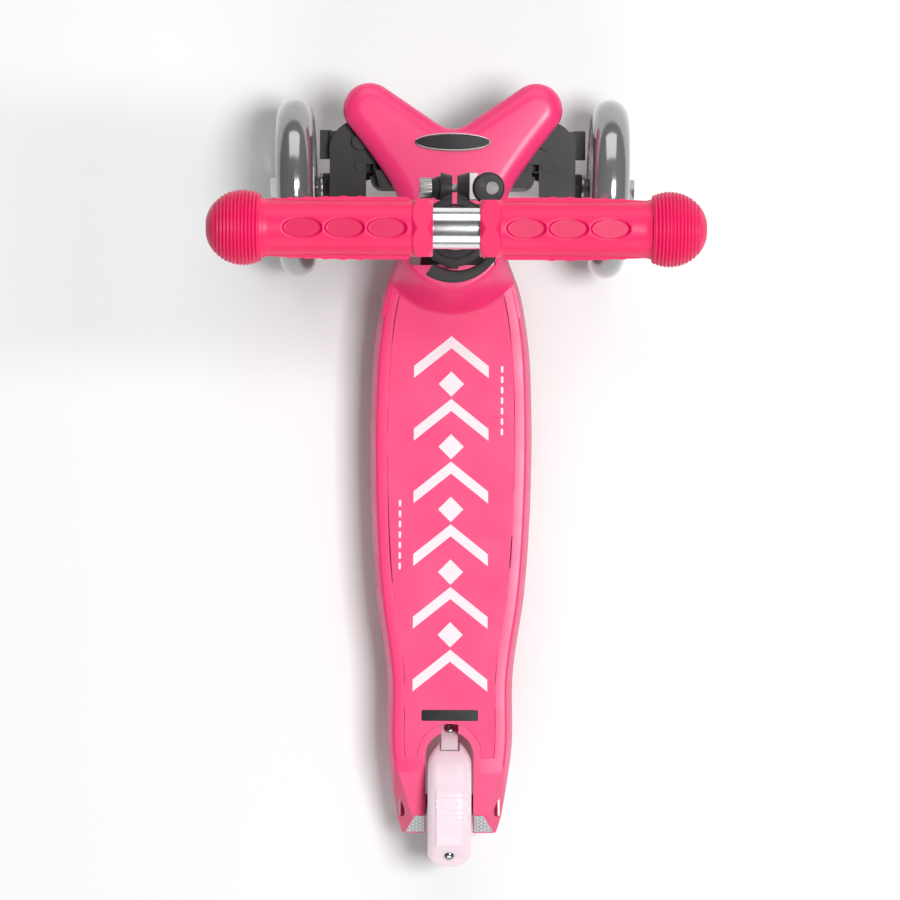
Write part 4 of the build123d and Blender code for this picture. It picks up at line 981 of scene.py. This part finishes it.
# finish the CAD nodes that stay as they are
cadFinish = {  # nodes by finish, with the width of the drawn-off edges in mm
    "pink_tread": ("deck_pad", 0.25),
    "pale_print": ("deck_graphics", 0.15),
    "black_print": ("brake_label badge_plate", 0.15),
    "reflector_film": ("tail_reflectors", 0.1),
    "black_plastic": ("front_carrier right_knuckle left_knuckle head_shutter steering_head tie_bar "
                      "lock_button guide_bush kingpins right_tie_pin left_tie_pin", 1.0),
    "zinc_steel": ("carrier_screws right_axle_bolt left_axle_bolt right_axle_nut left_axle_nut "
                   "right_axle_washers left_axle_washers rear_axle rear_axle_bolts rear_washers clamp_bolt "
                   "saddle_washer button_spring right_bearings left_bearings rear_bearings "
                   "right_spacer left_spacer rear_spacer", 0.25),
    "polished_steel": ("badge_rim lever_pin", 0.3),
    "sintered_bronze": ("head_bushes", 0.3),
    "bar_aluminium": ("column_inner", 0.3),
    "pink_painted_tube": ("column_outer", 0.3),
    "hub_plastic": ("right_hub left_hub rear_hub", 0.5),
    "fender_plastic": ("brake_tab", 0.4),
    "brake_rubber": ("brake_pad bar_plugs", 0.3),
}


# A node that stays: its own mesh, with welded and bevelled edges added as modifiers
def keepNode(name, finish, width):
    node = frame["nodes"][name]
    node.data.materials.clear()
    node.data.materials.append(finishes[finish])
    weld = node.modifiers.new("weld", "WELD")
    weld.merge_threshold = 0.00002
    drawnOff(node, width, 2, 32)


for finish, (names, width) in cadFinish.items():
    for name in names.split():
        keepNode(name, finish, width)
print("kept nodes finished")


# floor, light and camera
stageSet = dict(  # metres and watts
    floorSize=6.0, floorColour=(0.90, 0.90, 0.90), world=0.08,
    stripWide=2.0, stripLong=1.4, stripPlace=(0.0, 1.9, 1.3), stripPower=19.0,
    keySize=0.8, keyPlace=(0.8, 0.0, 2.7), keyPower=61.0, aim=(0.0, 0.0, 0.1),
    cameraPlace=(-0.012, 0.0178, 2.333), lens=135.5, lean=-0.285, roll=0.28,  # leans in degrees
)


# A rectangular light at a place, turned to face the aim
def areaLight(name, place, aim, wide, long, power):
    light = bpy.data.lights.new(name, "AREA")
    light.shape, light.size, light.size_y, light.energy = "RECTANGLE", wide, long, power
    lamp = bpy.data.objects.new(name, light)
    lamp.location = place
    lamp.rotation_euler = (Vector(aim) - Vector(place)).to_track_quat("-Z", "Y").to_euler()
    bpy.context.scene.collection.objects.link(lamp)


# White floor just below the wheels, even world, two strips, a key from above, and the camera
def makeStage(s):
    half, low = s["floorSize"] / 2, cadBox[0][2] - 0.0002
    mesh = bpy.data.meshes.new("floor")
    corners = [(-half, -half, low), (half, -half, low), (half, half, low), (-half, half, low)]
    mesh.from_pydata(corners, [], [(0, 1, 2, 3)])
    floor = bpy.data.objects.new("floor", mesh)
    bpy.context.scene.collection.objects.link(floor)
    paper = bpy.data.materials.new("paper")
    paper.use_nodes = True
    shader = paper.node_tree.nodes["Principled BSDF"]
    shader.inputs["Base Color"].default_value = (*s["floorColour"], 1.0)
    shader.inputs["Roughness"].default_value = 0.9
    shader.inputs["Specular IOR Level"].default_value = 0.0
    mesh.materials.append(paper)
    world = bpy.data.worlds.new("studio")
    world.use_nodes = True
    back = world.node_tree.nodes["Background"]
    back.inputs["Color"].default_value = (1.0, 1.0, 1.0, 1.0)
    back.inputs["Strength"].default_value = s["world"]
    bpy.context.scene.world = world
    x, y, z = s["stripPlace"]
    for name, side in (("frontStrip", 1), ("rearStrip", -1)):
        areaLight(name, (x, side * y, z), s["aim"], s["stripWide"], s["stripLong"], s["stripPower"])
    areaLight("keyLight", s["keyPlace"], s["aim"], s["keySize"], s["keySize"], s["keyPower"])
    lens = bpy.data.cameras.new("camera")
    lens.lens, lens.sensor_width, lens.clip_end = s["lens"], 36.0, 20.0
    camera = bpy.data.objects.new("camera", lens)
    camera.location = s["cameraPlace"]
    lean = Matrix.Rotation(math.radians(s["lean"]), 4, "Y")
    camera.rotation_euler = (lean @ Matrix.Rotation(math.radians(s["roll"]), 4, "Z")).to_euler()
    bpy.context.scene.collection.objects.link(camera)
    bpy.context.scene.camera = camera
    bpy.context.scene.view_settings.view_transform = "Standard"


makeStage(stageSet)
print("stage made")
